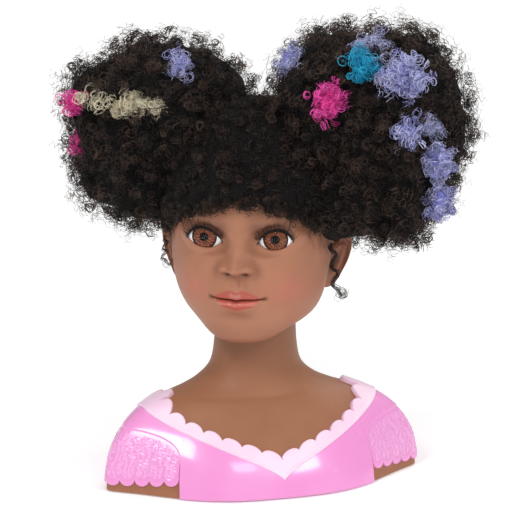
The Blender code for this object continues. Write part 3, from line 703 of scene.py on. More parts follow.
# amount forwards, distance to the side, height, half width and half height of the face's soft bumps
faceBumps = [
    (3.6, 0, 146.0, 6.6, 4.3),
    (6.0, 9.4, 145.0, 3.6, 3.6),
    (2.8, 0, 142.6, 7.5, 3.0),
    (-3.2, 5.6, 141.5, 2.7, 1.25),
    (-1.3, 13.4, 144.6, 1.5, 3.6),
    (-2.7, 22.6, 160, 16, 11),
    (-1.3, 9.6, 161, 4.2, 7.0),
    (1.0, 22, 175, 17, 5),
    (1.7, 29, 139, 13, 12),
    (4.6, 0, 125, 17, 11),
    (0.45, 2.6, 135.0, 1.1, 2.8),
    (-0.65, 0, 135.2, 1.3, 3.0),
    (-1.3, 17.4, 125.6, 1.8, 1.7),
    (-2.0, 0, 114.4, 10, 2.7),
    (2.6, 0, 106.0, 13, 6.5),
]


def faceRelief(x, z):
    # how far the face stands in front of the plain head
    size = np.abs(x)
    run = np.clip((169 - z) / 23.5, 0, 1)
    ridge = (0.5 + 6.6 * run**1.4) * smooth(139.4, 144.4, z)
    ridge *= np.exp(-((size / (3.9 + 2.2 * run)) ** 2.3))
    total = ridge + sum(amount * bell(size, z, *bump) for amount, *bump in faceBumps)
    over = z - mouthLine(x)
    upper, lower = lipHeights(x)
    fullUp = np.clip(upper / 6.0, 0, 1)
    fullDown = np.clip(lower / 6.4, 0, 1)
    upBulge = 1.3 * np.exp(-(((over - 1.2) / 2.0) ** 2)) + 0.45 * np.exp(-(((over - upper) / 0.8) ** 2))
    downBulge = 3.2 * np.exp(-(((over + 2.4) / 2.2) ** 2)) * (1 + 0.16 * bell(size, z, 4.6, 122.8, 2.8, 4))
    total += np.where(over > 0, upBulge * fullUp, downBulge * fullDown)
    total -= 1.9 * np.exp(-((over / 0.6) ** 2)) * (1 - smooth(14.8, 18.6, size))
    total += 8.8 * np.exp(-(((z - 99.5) / 5.5) ** 2) - (size / 34) ** 3.5)
    return total


def lidEdge(part, upper):
    # the distance to the side and the height of a lid's edge
    across = headValues["eyeX"] + part * headValues["openingWidth"]
    up = headValues["lidZ"] + lidHeight(np.clip(part, -1, 1), upper)
    return across, up + headValues["tilt"] * (across - headValues["eyeX"])


def eyeParts(x, z):
    part = (np.abs(x) - headValues["eyeX"]) / headValues["openingWidth"]
    up = z - headValues["lidZ"] - headValues["tilt"] * (np.abs(x) - headValues["eyeX"])
    return part, up


def sculpted(points):
    # the plain head's points moved to the face's shape
    x, y, z = np.moveaxis(points, -1, 0)
    facing = smooth(-4, -16, y)
    made = y - faceRelief(x, z) * facing
    part, up = eyeParts(x, z)
    reach = np.sqrt(part**2 + ((up - 1.1) / 6.6) ** 2)
    near = (1 - smooth(1.0, 1.75, reach)) * facing
    lid = eyeSurface(x, z, 0.62) - 1.05
    edge = lidHeight(part, True)
    inLid = 1 - smooth(1.0, 1.25, np.abs(part))
    crease = np.exp(-(((up - edge - 3.0) / 0.75) ** 2)) * inLid
    plump = np.exp(-(((up - edge - 1.4) / 1.2) ** 2)) * inLid
    made = made + (lid - made) * near + (0.75 * crease - 0.35 * plump) * facing
    cover = eyeSurface(x, z, 0) - 0.9
    made = np.where((facing > 0.5) & (cover < eyeball["y"] - 1.2), np.minimum(made, cover), made)
    jaw = 4.2 * smooth(112, 99, z) * smooth(-14, -34, y) * np.exp(-((np.abs(x) / 35) ** 3.5))
    return np.stack([x, made, z - jaw], axis=-1)


def skinTones(points):
    # the face's painted colours and painted shade in its hollows, under the nose, lower lip and chin and
    # towards its sides, with the gloss of the lips in the fourth number
    x, y, z = np.moveaxis(points, -1, 0)
    size = np.abs(x)
    facing = smooth(-6, -20, y)
    tone = np.ones((len(points), 1)) * np.array(colour(172, 117, 89))[:3]

    def blend(mask, paint):
        nonlocal tone
        tone = tone + (np.array(paint)[:3] - tone) * mask[:, None]

    part, up = eyeParts(x, z)
    shadow = bell(size, z, 17.0, 170.0, 11.0, 4.4) + 0.8 * bell(size, z, 10.8, 164.5, 3.8, 6.5)
    blend(np.clip(0.60 * shadow, 0, 0.85) * facing, colour(88, 52, 40))
    blend(0.30 * bell(size, z, 31, 130, 12, 9) * facing, colour(200, 98, 86))
    # painted shade: the head darker towards its sides
    blend(0.30 * smooth(24, 50, size), colour(128, 78, 58))
    # painted shade in the crease beside each nostril wing
    blend(0.42 * bell(size, z, 13.2, 142.5, 3.0, 4.2) * facing, colour(112, 64, 48))
    # painted shade down the sides of the nose
    blend(0.24 * bell(size, z, 8.6, 154, 3.2, 8.0) * facing, colour(112, 66, 50))
    # painted shadow under the nose
    blend(0.45 * bell(x, z, 0, 139.2, 9.5, 1.7) * facing, colour(104, 60, 46))
    # painted shadow in the crease below the lower lip
    blend(0.35 * bell(x, z, 0, 114.6, 9.5, 2.4) * facing, colour(112, 66, 52))
    # painted shade under the jaw and chin
    blend(0.35 * smooth(112, 98, z) * facing, colour(132, 80, 60))
    # painted shade in the nostril hollows
    blend(0.85 * bell(size, z, 5.4, 141.3, 2.5, 1.25) * facing, colour(48, 22, 18))
    over = z - mouthLine(x)
    upper, lower = lipHeights(x)
    lips = np.where(over > 0, smooth(0.5, -0.5, over - upper), smooth(0.6, -0.6, -over - lower))
    lips = lips * (1 - smooth(14.4, 16.2, size)) * facing
    blend(0.92 * lips, colour(186, 86, 72))
    blend(lips * smooth(0.2, 1.4, over) * 0.6, colour(172, 86, 70))
    blend(lips * np.exp(-(((over + 2.4) / 1.4) ** 2)) * 0.35, colour(222, 124, 112))
    blend(0.85 * np.exp(-((over / 0.55) ** 2)) * (1 - smooth(15, 18.6, size)) * facing, colour(82, 36, 32))
    # painted shade in the corners of the mouth
    blend(0.6 * bell(size, z, 17.4, 125.6, 1.6, 1.3) * facing, colour(84, 44, 36))
    edge = lidHeight(part, True)
    width = 1.3 + 0.5 * np.clip(part, -1, 1)
    liner = smooth(width + 0.5, width - 0.3, up - edge) * smooth(-1.4, -0.6, up - edge)
    liner = liner * (1 - smooth(1.02, 1.14, np.abs(part))) * facing
    blend(liner, colour(16, 10, 9))
    lowEdge = lidHeight(part, False)
    rim = np.exp(-(((up - lowEdge) / 0.45) ** 2)) * (1 - smooth(0.9, 1.02, np.abs(part))) * facing
    blend(0.5 * rim, colour(96, 50, 42))
    gloss = lips * np.where(over > 0, 0.2, 1.0)
    return np.concatenate([tone, gloss[:, None]], axis=1)


def cutWith(piece, cutter):
    selectOnly(piece)
    cut = piece.modifiers.new("cut", "BOOLEAN")
    cut.operation = "DIFFERENCE"
    cut.solver = "EXACT"
    cut.object = cutter
    bpy.ops.object.modifier_apply(modifier="cut")
    bpy.data.objects.remove(cutter, do_unlink=True)


def prism(name, outline, near, far):
    # a closed block with this outline in X and Z, from one depth to the other
    count = len(outline)
    ends = [
        np.stack([outline[:, 0], np.full(count, depth), outline[:, 1]], axis=-1)
        for depth in (near, far)
    ]
    index = np.arange(count)
    after = np.roll(index, -1)
    sides = np.stack([index, after, after + count, index + count], axis=-1)
    centres = np.array([end.mean(axis=0) for end in ends])
    caps = [np.stack([after, index, np.full(count, 2 * count)], axis=-1)]
    caps.append(np.stack([index + count, after + count, np.full(count, 2 * count + 1)], axis=-1))
    return makePiece(name, np.concatenate([*ends, centres]), sides, np.concatenate(caps))


def eyeOutline(side):
    part = np.cos(np.linspace(0, math.pi, 40))
    upper, lower = np.stack(lidEdge(part, True)), np.stack(lidEdge(part[::-1], False))
    outline = np.concatenate([upper, lower[:, 1:-1]], axis=1).T * (side, 1)
    return outline if side > 0 else outline[::-1]


def makeHead():
    fineLevels = np.sin(np.linspace(-math.pi / 2, math.pi / 2, 1500))
    profile = headForm(np.zeros(1500), fineLevels)
    height = profile[:, 2]
    inFace = smooth(96.6, 97.6, height) * smooth(180, 174, height)
    density = inFace / headValues["fine"] + (1 - inFace) / headValues["coarse"]
    run = (np.linalg.norm(np.diff(profile, axis=0), axis=-1) * (density[1:] + density[:-1]) / 2).sum()
    levels = np.interp(spaced(profile, density, int(run)), np.arange(1500), fineLevels)[1:-1]
    fineTurns = np.linspace(-math.pi, math.pi, 2401)
    ring = headForm(fineTurns, np.zeros(2401))
    inFace = smooth(-14, -24, ring[:, 1])
    density = inFace / headValues["fine"] + (1 - inFace) / headValues["coarse"]
    run = (np.linalg.norm(np.diff(ring, axis=0), axis=-1) * (density[1:] + density[:-1]) / 2).sum()
    turns = np.interp(spaced(ring, density, int(run)), np.arange(2401), fineTurns)[:-1]
    azimuth, level = np.meshgrid(turns, levels)
    points = sculpted(headForm(azimuth, level))
    poles = np.array([[0, 0, headValues["chin"]], [0, 6, headValues["top"]]])
    faces = poleFaces(*points.shape[:2])
    head = makePiece("headSkin", np.concatenate([points.reshape(-1, 3), poles]), *faces)
    for side in (-1, 1):
        cutWith(head, prism("lidCut", eyeOutline(side), -36.0, -80.0))
    bpy.ops.mesh.primitive_cylinder_add(vertices=96, radius=27.2, depth=25, location=(0, 0, 92.6))
    cutter = bpy.context.active_object
    bpy.ops.object.transform_apply(location=True, rotation=True, scale=True)
    cutWith(head, cutter)
    paintPoints(head, "tint", skinTones(pointsOf(head)))
    finishPiece(head, "head", skinLook, ("head_shell",), 48)


earValues = {
    "middle": (53.4, -1.6, 141.8),
    "halfWide": 9.2,
    "halfHigh": 17.4,
    "lean": 43.0,
    "rim": 1.9,
    "bowl": 3.4,
    "columns": 84,
}


def makeEar(side):
    # a rounded dish with a rolled rim, leaning out from the head
    lean = math.radians(earValues["lean"])
    backward = np.array([side * math.sin(lean), math.cos(lean), 0.10])
    upward = np.array([side * 0.29, 0.14, 1.0])
    outward = np.array([side * math.cos(lean), -math.sin(lean), 0])
    turns = np.linspace(0, 2 * math.pi, earValues["columns"], endpoint=False)
    rings = np.concatenate([np.linspace(0.03, 1, 34), np.linspace(1, 0.03, 14)[1:]])
    front = np.arange(len(rings)) < 34
    r, turn = np.meshgrid(rings, turns, indexing="ij")
    square = 1 - 0.38 * smooth(0, -0.8, np.sin(turn))
    along = r * np.sign(np.cos(turn)) * np.abs(np.cos(turn)) ** square
    up = r * np.sin(turn)
    halfWide = earValues["halfWide"] * (1 - 0.30 * smooth(0.1, -1.0, up)) * (1 + 0.06 * smooth(0.0, 0.8, up))
    rim = earValues["rim"] * np.exp(-(((r - 0.88) / 0.085) ** 2)) * smooth(-0.98, -0.55, up + 0.55 * along)
    fold = 1.5 * bell(along, up, 0.22, 0.10, 0.22, 0.50)
    bowl = -earValues["bowl"] * bell(along, up, -0.22, -0.08, 0.30, 0.36)
    groove = -1.1 * np.exp(-(((r - 0.70) / 0.09) ** 2)) * smooth(-0.5, 0.1, up)
    flap = 1.3 * bell(along, up, -0.62, -0.12, 0.14, 0.16)
    relief = (rim + fold + bowl + groove + flap) * smooth(1.02, 0.90, r) + 0.6 * (1 - r**2)
    relief = np.where(front[:, None], relief, -2.6 * (1 - r**4) ** 0.5 - 0.4)
    centre = np.array(earValues["middle"]) * (side, 1, 1)
    points = centre + (along * halfWide)[..., None] * backward
    points = points + (up * earValues["halfHigh"])[..., None] * upward
    points = points + relief[..., None] * outward
    ends = np.array([points[0].mean(axis=0), points[-1].mean(axis=0)])
    faces = poleFaces(*points.shape[:2])
    if side < 0:
        faces = [face[:, ::-1] for face in faces]
    points = np.concatenate([points.reshape(-1, 3), ends])
    ear = makePiece("ear" + sideNames[side], points, *faces)
    count = len(points)
    # painted shade: the whole ear a darker tone than the face
    tone = np.ones((count, 1)) * np.array(colour(152, 100, 77))[:3]
    # painted shade, darker in the ear's bowl and groove
    depth = np.concatenate([(-bowl - groove).ravel() / earValues["bowl"], [0, 0]])[:, None]
    tone = tone * (1 - 0.5 * np.clip(depth, 0, 1))
    paintPoints(ear, "tint", np.concatenate([tone, np.zeros((count, 1))], axis=1))
    finishPiece(ear, "head", skinLook, ())


makeHead()
for side in (-1, 1):
    makeEar(side)


# Eyes

print("eyes")

eyeValues = {"iris": 8.0, "corneaRise": 1.0, "lashes": 60, "lashLength": 7.0}

glowingWhiteLook = Look("eyeWhite", {"Roughness": 0.25, "Specular IOR Level": 0.3})
veins = glowingWhiteLook.noise(260, 3)
glowingWhiteLook.set(
    {
        "Base Color": glowingWhiteLook.mix(veins * 0.12, colour(250, 249, 252), colour(228, 206, 208)),
        # the whites glow faintly: painted light that brightens them
        "Emission Color": colour(250, 250, 255),
        "Emission Strength": 0.06,
    }
)

irisLook = Look("brownIris", {"Roughness": 0.5, "Specular IOR Level": 0.1})
irisPlace = irisLook.node("ShaderNodeUVMap", {"uv_map": "polar"}, {})
irisSplit = irisLook.tree.nodes.new("ShaderNodeSeparateXYZ")
irisLook.feed(irisSplit.inputs[0], irisPlace)
irisRadius = Wire(irisLook, irisSplit.outputs["X"])
irisAngle = Wire(irisLook, irisSplit.outputs["Y"])
streakPlace = irisLook.node(
    "ShaderNodeCombineXYZ", {}, {"X": irisRadius * 3.0, "Y": irisAngle * 60.0, "Z": 0.0}
)
streaks = irisLook.noise(1.0, 3, streakPlace, 0.6)
cells = irisLook.node(
    "ShaderNodeTexVoronoi", {"feature": "F1"}, {"Vector": streakPlace, "Scale": 0.7}
)
irisBase = irisLook.mix(streaks.step(0.34, 0.66), colour(66, 28, 16), colour(166, 98, 68))
irisBase = irisLook.mix(cells.step(0.3, 0.75) * 0.6, irisBase, colour(70, 32, 20))
irisBase = irisLook.mix(irisRadius.step(0.48, 0.34) * 0.5, irisBase, colour(120, 54, 30))
irisBase = irisLook.mix(irisRadius.step(0.80, 0.93), irisBase, colour(24, 11, 8))
irisBase = irisLook.mix(irisRadius.step(0.38, 0.35), irisBase, colour(1, 1, 1))
irisLook.set({"Base Color": irisBase})

corneaLook = Look("clearCornea", {})
corneaLook.tree.nodes.remove(corneaLook.shader)
gloss = corneaLook.node(
    "ShaderNodeBsdfGlossy", {}, {"Color": (1, 1, 1, 1), "Roughness": 0.04}
)
clear = corneaLook.node("ShaderNodeBsdfTransparent", {}, {"Color": (1, 1, 1, 1)})
shine = corneaLook.noise(60, 1) * 0.002 + 0.007
both = corneaLook.node("ShaderNodeMixShader", {}, {0: shine, 1: clear, 2: gloss})
corneaLook.tree.links.new(both.socket, corneaLook.tree.nodes["Material Output"].inputs["Surface"])


def polarDisc(name, side, radius, lift, rings, thickness):
    # a disc that follows the eyeball, with its radius and angle kept for the pattern
    steps = np.linspace(0, 1, rings + 1)[1:]
    turns = np.linspace(0, 2 * math.pi, 73)[:-1]
    r, turn = np.meshgrid(steps, turns, indexing="ij")
    x = headValues["eyeX"] * side + radius * r * np.cos(turn)
    z = headValues["eyeZ"] + radius * r * np.sin(turn)
    base = eyeSurface(x, z)
    y = base - lift(r)
    back = base - lift(r) + thickness(r)
    front = np.stack([x, y, z], axis=-1)
    rear = np.stack([x, back, z], axis=-1)[::-1]
    shape = np.concatenate([front, rear[1:]])
    middle = np.array([headValues["eyeX"] * side, 0, headValues["eyeZ"]])
    centre = eyeSurface(middle[:1], middle[2:])[0]
    ends = np.array([middle, middle])
    ends[0, 1] = centre - lift(np.zeros(1))[0]
    ends[1, 1] = ends[0, 1] + thickness(np.zeros(1))[0]
    faces = [face[:, ::-1] for face in poleFaces(*shape.shape[:2])]
    disc = makePiece(name, np.concatenate([shape.reshape(-1, 3), ends]), *faces)
    polar = disc.data.uv_layers.new(name="polar")
    corners = np.zeros(len(disc.data.loops), np.int32)
    disc.data.loops.foreach_get("vertex_index", corners)
    points = pointsOf(disc)[corners]
    dx, dz = points[:, 0] - middle[0], points[:, 2] - middle[2]
    uv = np.stack([np.hypot(dx, dz) / radius, np.arctan2(dz, dx) / (2 * math.pi) + 0.5], axis=-1)
    # the corners of one face stay on the same side of the seam
    sizes = np.zeros(len(disc.data.polygons), np.int32)
    disc.data.polygons.foreach_get("loop_total", sizes)
    owner = np.repeat(np.arange(len(sizes)), sizes)
    most = np.zeros(len(sizes))
    np.maximum.at(most, owner, uv[:, 1])
    uv[:, 1] += (uv[:, 1] < most[owner] - 0.5) * 1.0
    polar.data.foreach_set("uv", uv.astype(np.float32).ravel())
    return disc


def makeEye(side):
    name = sideNames[side]
    node = name.lower()
    sizes = eyeball["sizes"]
    bpy.ops.object.select_all(action="DESELECT")
    bpy.ops.mesh.primitive_uv_sphere_add(segments=72, ring_count=48, radius=1)
    white = bpy.context.active_object
    white.name = "eyeWhite" + name
    centre = (side * headValues["eyeX"], eyeball["y"], headValues["eyeZ"])
    white.data.transform(Matrix.Translation(centre) @ Matrix.Diagonal((*sizes, 1)))
    finishPiece(white, "head", glowingWhiteLook, ("eyeball_" + node,))
    iris = polarDisc(
        "iris" + name, side, eyeValues["iris"], lambda r: 0.16 + 0 * r, 14, lambda r: 0.3 + 0 * r
    )
    finishPiece(iris, "head", irisLook, ("iris_" + node,), 40)
    cornea = polarDisc(
        "cornea" + name,
        side,
        eyeValues["iris"] + 0.7,
        lambda r: 0.22 + eyeValues["corneaRise"] * (1 - r**2),
        14,
        lambda r: 0.18 + 0 * r,
    )
    finishPiece(cornea, "head", corneaLook, ("cornea_" + node,))


def tubes(name, paths, radii, sides, shades):
    # many closed tubes at once: paths is tube by point by 3, radii is tube by point
    count, steps = paths.shape[:2]
    along = unit(np.gradient(paths, axis=1))
    swing = np.roll(along, 1, axis=-1) * np.array([1, -1, 1])
    swing = unit(swing - (swing * along).sum(axis=-1, keepdims=True) * along)
    other = np.cross(along, swing)
    turns = np.arange(sides) * 2 * math.pi / sides
    ring = swing[:, :, None] * np.cos(turns)[:, None] + other[:, :, None] * np.sin(turns)[:, None]
    points = paths[:, :, None] + ring * radii[:, :, None, None]
    index = np.arange(count * steps * sides).reshape(count, steps, sides)
    after = np.roll(index, -1, axis=2)
    quads = np.stack([index[:, :-1], after[:, :-1], after[:, 1:], index[:, 1:]], axis=-1)
    quads = quads.reshape(-1, 4)
    caps = np.concatenate([index[:, 0, ::-1], index[:, -1]])
    faces = (quads, caps) if sides == 3 else (np.concatenate([quads, caps]),)
    made = makePiece(name, points, *faces)
    layer = made.data.attributes.new("shade", "FLOAT", "POINT")
    layer.data.foreach_set("value", np.repeat(shades.ravel(), sides).astype(np.float32))
    return made


def makeLashes(side):
    name = sideNames[side]
    node = name.lower()
    count = eyeValues["lashes"]
    part = np.linspace(-0.93, 1.0, count) + dice.normal(0, 0.012, count)
    part = np.clip(part, -0.97, 1.0)
    across, up = lidEdge(part, True)
    root = np.stack([side * across, eyeSurface(across, up) - 1.0, up + 0.25], axis=-1)
    length = eyeValues["lashLength"] * (0.62 + 0.38 * np.sin(math.pi * (part + 1.1) / 2.3))
    length *= dice.uniform(0.72, 1.08, count)
    fan = part * 0.8 + dice.normal(0, 0.10, count)
    steps = np.linspace(0, 1, 8)
    outward = length[:, None] * (0.80 * steps - 0.18 * steps**2)
    rise = length[:, None] * (0.18 * steps + 0.72 * steps**2)
    sideways = side * fan[:, None] * length[:, None] * steps
    paths = root[:, None] + np.stack([sideways, -outward, rise], axis=-1)
    radii = np.broadcast_to(0.25 * (1 - 0.85 * steps), (count, 8))
    shade = np.broadcast_to(dice.uniform(0, 0.3, (count, 1)), (count, 8))
    lashes = tubes("lashes" + name, paths, radii, 4, shade)
    finishPiece(lashes, "head", lashLook, ("eyelash_" + node,))
    # the dark strip that holds the lashes, with a short wing past the outer corner
    part = np.linspace(-0.98, 1.22, 60)
    wing = np.clip(part - 0.98, 0, 1)
    across, up = lidEdge(part, True)
    up = up + 0.2 + wing * 4.0
    depth = eyeSurface(across, up) - 0.85 - 0.3 * smooth(-1, 0, part) + wing * 1.2
    path = np.stack([side * across, depth, up], axis=-1)[None]
    thick = 0.20 + 0.52 * smooth(-1.0, -0.3, part) * smooth(1.24, 0.98, part)
    strip = tubes("lashStrip" + name, path, thick[None], 4, np.zeros((1, 60)))
    finishPiece(strip, "head", lashLook, ())


for side in (-1, 1):
    makeEye(side)
    makeLashes(side)


# Hair

print("hair")

hairValues = {
    "strand": 0.25,
    "steps": 13,
    "perPiece": 1480,
    "leftPuff": {"centre": (-65.5, 14.0, 218.0), "sizes": (58.0, 53.0, 58.0)},
    "rightPuff": {"centre": (70.0, 14.0, 221.0), "sizes": (59.0, 54.0, 67.0)},
    "crownGrow": (6.0, 9.0, 9.0, 12.0),
}


def puffForm(directions, puff):
    # a puff's lumpy surface in the given directions, with tufts that stand out of it
    sizes = np.array(puff["sizes"])
    seed = int(puff["centre"][2])
    square = (np.abs(directions) ** 2.4).sum(axis=-1) ** (-1 / 2.4)
    lumps = square * (1.01 + 0.055 * ripple(directions, 0.9, seed) + 0.040 * ripple(directions, 0.36, 5))
    return np.array(puff["centre"]) + directions * sizes * lumps[..., None]


def tufts(directions):
    return 4.4 * np.clip(ripple(directions, 0.22, 61), -0.6, 1.3) + 1.8 * ripple(directions, 0.10, 62)


def sphereGrid(rows, columns):
    rise = np.linspace(-math.pi / 2, math.pi / 2, rows + 2)[1:-1]
    turns = np.linspace(0, 2 * math.pi, columns, endpoint=False)
    turn, up = np.meshgrid(turns, rise)
    grid = np.stack([np.cos(up) * np.cos(turn), np.cos(up) * np.sin(turn), np.sin(up)], axis=-1)
    points = np.concatenate([grid.reshape(-1, 3), [[0, 0, -1.0], [0, 0, 1.0]]])
    return points, *poleFaces(rows, columns)


def hairline(azimuth):
    # the height of the hair's lower edge round the head, from one side of the back to the other
    turns = [-180, -140, -118, -98, -80, -62, -46, -30, -14, 0, 12, 25, 40, 50, 64, 80, 98, 118, 140, 180]
    heights = [112, 114, 148, 160, 163, 169, 176, 180, 183, 187, 185, 181]
    heights += [178, 173, 166, 162, 160, 148, 114, 112]
    return np.interp(np.degrees(azimuth), turns, heights)


def crownPoint(azimuth, level, extra=0.0):
    grow = tuple(g + extra for g in hairValues["crownGrow"])
    return headForm(azimuth, level, grow)


def makeCores():
    points, quads, fans = sphereGrid(90, 130)
    for name, node in (("leftPuff", "hair_puff_left"), ("rightPuff", "hair_puff_right")):
        shape = puffForm(points, hairValues[name])
        shape -= points * (4.0 + 1.2 * ripple(points, 0.16, 31))[:, None]
        core = makePiece(name + "Core", shape, quads, fans)
        finishPiece(core, "head", coreLook, (node,))
    azimuth = np.arctan2(points[:, 0], -points[:, 1])
    level = points[:, 2]
    outside = crownPoint(azimuth, level)
    inside = headForm(azimuth, level, (-14, -18, -14, -8))
    share = smooth(-1.5, 3.5, outside[:, 2] - hairline(azimuth))[:, None]
    shape = inside + (outside - inside) * share
    shape -= unit(points) * (1.0 * ripple(points, 0.12, 33))[:, None] * share
    core = makePiece("crownCore", shape, quads, fans)
    finishPiece(core, "head", coreLook, ("hair_crown", "hair_fringe"))


def curlPaths(roots, outward, style, bundle=1):
    # helical curls, some as bundles of strands that turn together: style holds lowest and highest values
    count = len(roots)
    whole = count * bundle

    def pick(name):
        low, high = style[name]
        shared = np.repeat(dice.uniform(low, high, count), bundle)
        return shared * (1 + (0.09 if bundle > 1 else 0) * dice.normal(size=whole))

    def shared(values, spread):
        values = np.repeat(values, bundle, axis=0)
        return values + (spread * dice.normal(size=values.shape) if bundle > 1 else 0)

    steps = np.linspace(0, 1, hairValues["steps"])
    low, high = style["out"]
    axis = outward * dice.uniform(low, high, (count, 1))
    low, high = style["wild"]
    axis = unit(axis + dice.normal(size=(count, 3)) * dice.uniform(low, high, (count, 1)))
    side = unit(np.cross(axis, dice.normal(size=(count, 3))))
    roots = shared(roots, 0.6)
    axis = unit(shared(axis, 0.14))
    side = shared(side, 0.0)
    side = unit(side - (side * axis).sum(axis=-1, keepdims=True) * axis)
    other = np.cross(axis, side)
    turns, radius, pitch, sag = pick("turns"), pick("radius"), pick("pitch"), pick("sag")
    angle = 2 * math.pi * turns[:, None] * steps
    swell = radius[:, None] * (0.6 + 0.4 * np.sin(math.pi * np.clip(steps * 0.9 + 0.12, 0, 1)))
    circle = side[:, None] * np.cos(angle)[..., None] + other[:, None] * np.sin(angle)[..., None]
    path = roots[:, None] + axis[:, None] * (pitch * turns)[:, None, None] * steps[:, None]
    path = path + circle * swell[..., None] - (side * swell[:, :1])[:, None]
    path[..., 2] -= sag[:, None] * steps**2
    bend = unit(dice.normal(size=(whole, 1, 3)))
    return path + ripple(path, 5.0, 77)[..., None] * bend * 0.4


baseStyle = {
    "out": (0.1, 0.9),
    "wild": (0.4, 0.9),
    "turns": (1.2, 2.4),
    "radius": (1.2, 2.6),
    "pitch": (1.0, 3.0),
    "sag": (0, 1.5),
}
ringStyle = dict(baseStyle, out=(0.2, 1.0), turns=(1.2, 2.3), radius=(1.7, 3.5), pitch=(1.2, 3.4))
flyStyle = dict(
    baseStyle, out=(0.8, 1.3), wild=(0.2, 0.8), turns=(1.2, 2.8), radius=(1.6, 3.6), pitch=(2.6, 4.8)
)


def onPuff(spots):
    # the puff's tufted surface out beyond these spots, and the ways out of it
    puff = hairValues["leftPuff" if spots[0, 0] < 0 else "rightPuff"]
    sizes = np.array(puff["sizes"])
    directions = unit((spots - np.array(puff["centre"])) / sizes)
    normals = unit(directions / sizes)
    return puffForm(directions, puff) + normals * tufts(directions)[:, None], normals


def lockShapes():
    # the middle and half sizes of each coloured lock, in the head's frame
    shapes = {}
    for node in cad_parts:
        if node.startswith("lock_"):
            points = pointsOf(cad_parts[node]) * 1000
            back = np.array(Matrix.Rotation(-headTurn, 3, "Z"))
            points = points @ back.T
            low, high = points.min(axis=0), points.max(axis=0)
            middle, half = (low + high) / 2, (high - low) / 2
            half = half * (1.12 if node.startswith("lock_lilac") else 1.0)
            shapes[node] = (onPuff(middle[None])[0][0], half)
    return shapes


locks = lockShapes()


def clearOfLocks(points, margin):
    keep = np.ones(len(points), bool)
    for middle, half in locks.values():
        gap = (((points - middle) / (half + margin)) ** 2).sum(axis=-1)
        keep &= gap > 1
    return keep


def clearOfFace(points):
    # keeps curls off the face, the ears and the neck
    azimuth = np.arctan2(points[:, 0], -points[:, 1])
    near = np.hypot(points[:, 0], points[:, 1]) < 78
    low = points[:, 2] < hairline(azimuth) - 1.5
    front = np.degrees(np.abs(azimuth)) < 100
    return ~(near & low & front)


def scatter(count, puff):
    # random directions, fewer of them at the back
    directions = unit(dice.normal(size=(count * 3, 3)))
    chance = np.where(directions[:, 1] < 0.25, 1.0, 0.42)
    directions = directions[dice.uniform(size=len(directions)) < chance][:count]
    return directions, puffForm(directions, puff)


def strandPiece(name, paths, shades, radius, look=darkHair, nodes=(), thin=0.55):
    # one piece of many strands, which thin towards their tips
    steps = np.linspace(0, 1, paths.shape[1])
    taper = radius[:, None] * (1.0 - thin * steps**2)
    shade = np.broadcast_to(shades[:, None], paths.shape[:2])
    made = tubes(name, paths, taper, 3, shade)
    return finishPiece(made, "head", look, nodes)


def shadesOf(depth, spread, count, bundle):
    # curls are darker deeper in the mass and browner and lighter towards the outside, which is painted
    # shade, alike within a bundle
    shades = 0.13 + 0.05 * depth + dice.normal(0, spread, count)
    shades = np.repeat(shades, bundle) + dice.normal(0, 0.05, count * bundle)
    return np.clip(shades, 0, 1)


def puffRoots(puff, count, low, high):
    directions, surface = scatter(int(count * 1.35) + 20, puff)
    normals = unit(directions / np.array(puff["sizes"]))
    depth = dice.uniform(low, high, len(surface))
    roots = surface + normals * (depth + tufts(directions))[:, None]
    # curls on tufts that stand out count as further out, so they are lighter and those in the hollows
    # darker: painted shade
    depth = depth + 0.8 * tufts(directions)
    keep = clearOfLocks(roots, 1.2) & clearOfFace(roots)
    return roots[keep][:count], normals[keep][:count], depth[keep][:count]


def makePuffCurls(name, puff, pieces, flyShare):
    for number in range(pieces):
        paths, shades = [], []
        # share, strands in a curl, style, lowest and highest root, spread of shades
        kinds = [
            (0.34, 1, baseStyle, -5.0, 1.0, 0.10),
            (0.66 - flyShare, 3, ringStyle, -4.0, 1.5, 0.14),
            (flyShare, 1, flyStyle, -3.0, 2.5, 0.16),
        ]
        for share, bundle, style, low, high, spread in kinds:
            count = int(hairValues["perPiece"] * share / bundle)
            roots, normals, depth = puffRoots(puff, count, low, high)
            paths.append(curlPaths(roots, normals, style, bundle))
            # loose curls count as further out, so they come out lighter: painted shade
            outside = depth + (5.0 if style is flyStyle else 0)
            shades.append(shadesOf(outside, spread, len(roots), bundle))
        paths, shades = np.concatenate(paths), np.concatenate(shades)
        radius = hairValues["strand"] * dice.uniform(0.6, 1.15, len(paths))
        radius[-len(roots) :] *= 0.72  # the last kind, the loose curls, is thinner
        strandPiece(f"{name}Curls{number + 1}", paths, shades, radius)


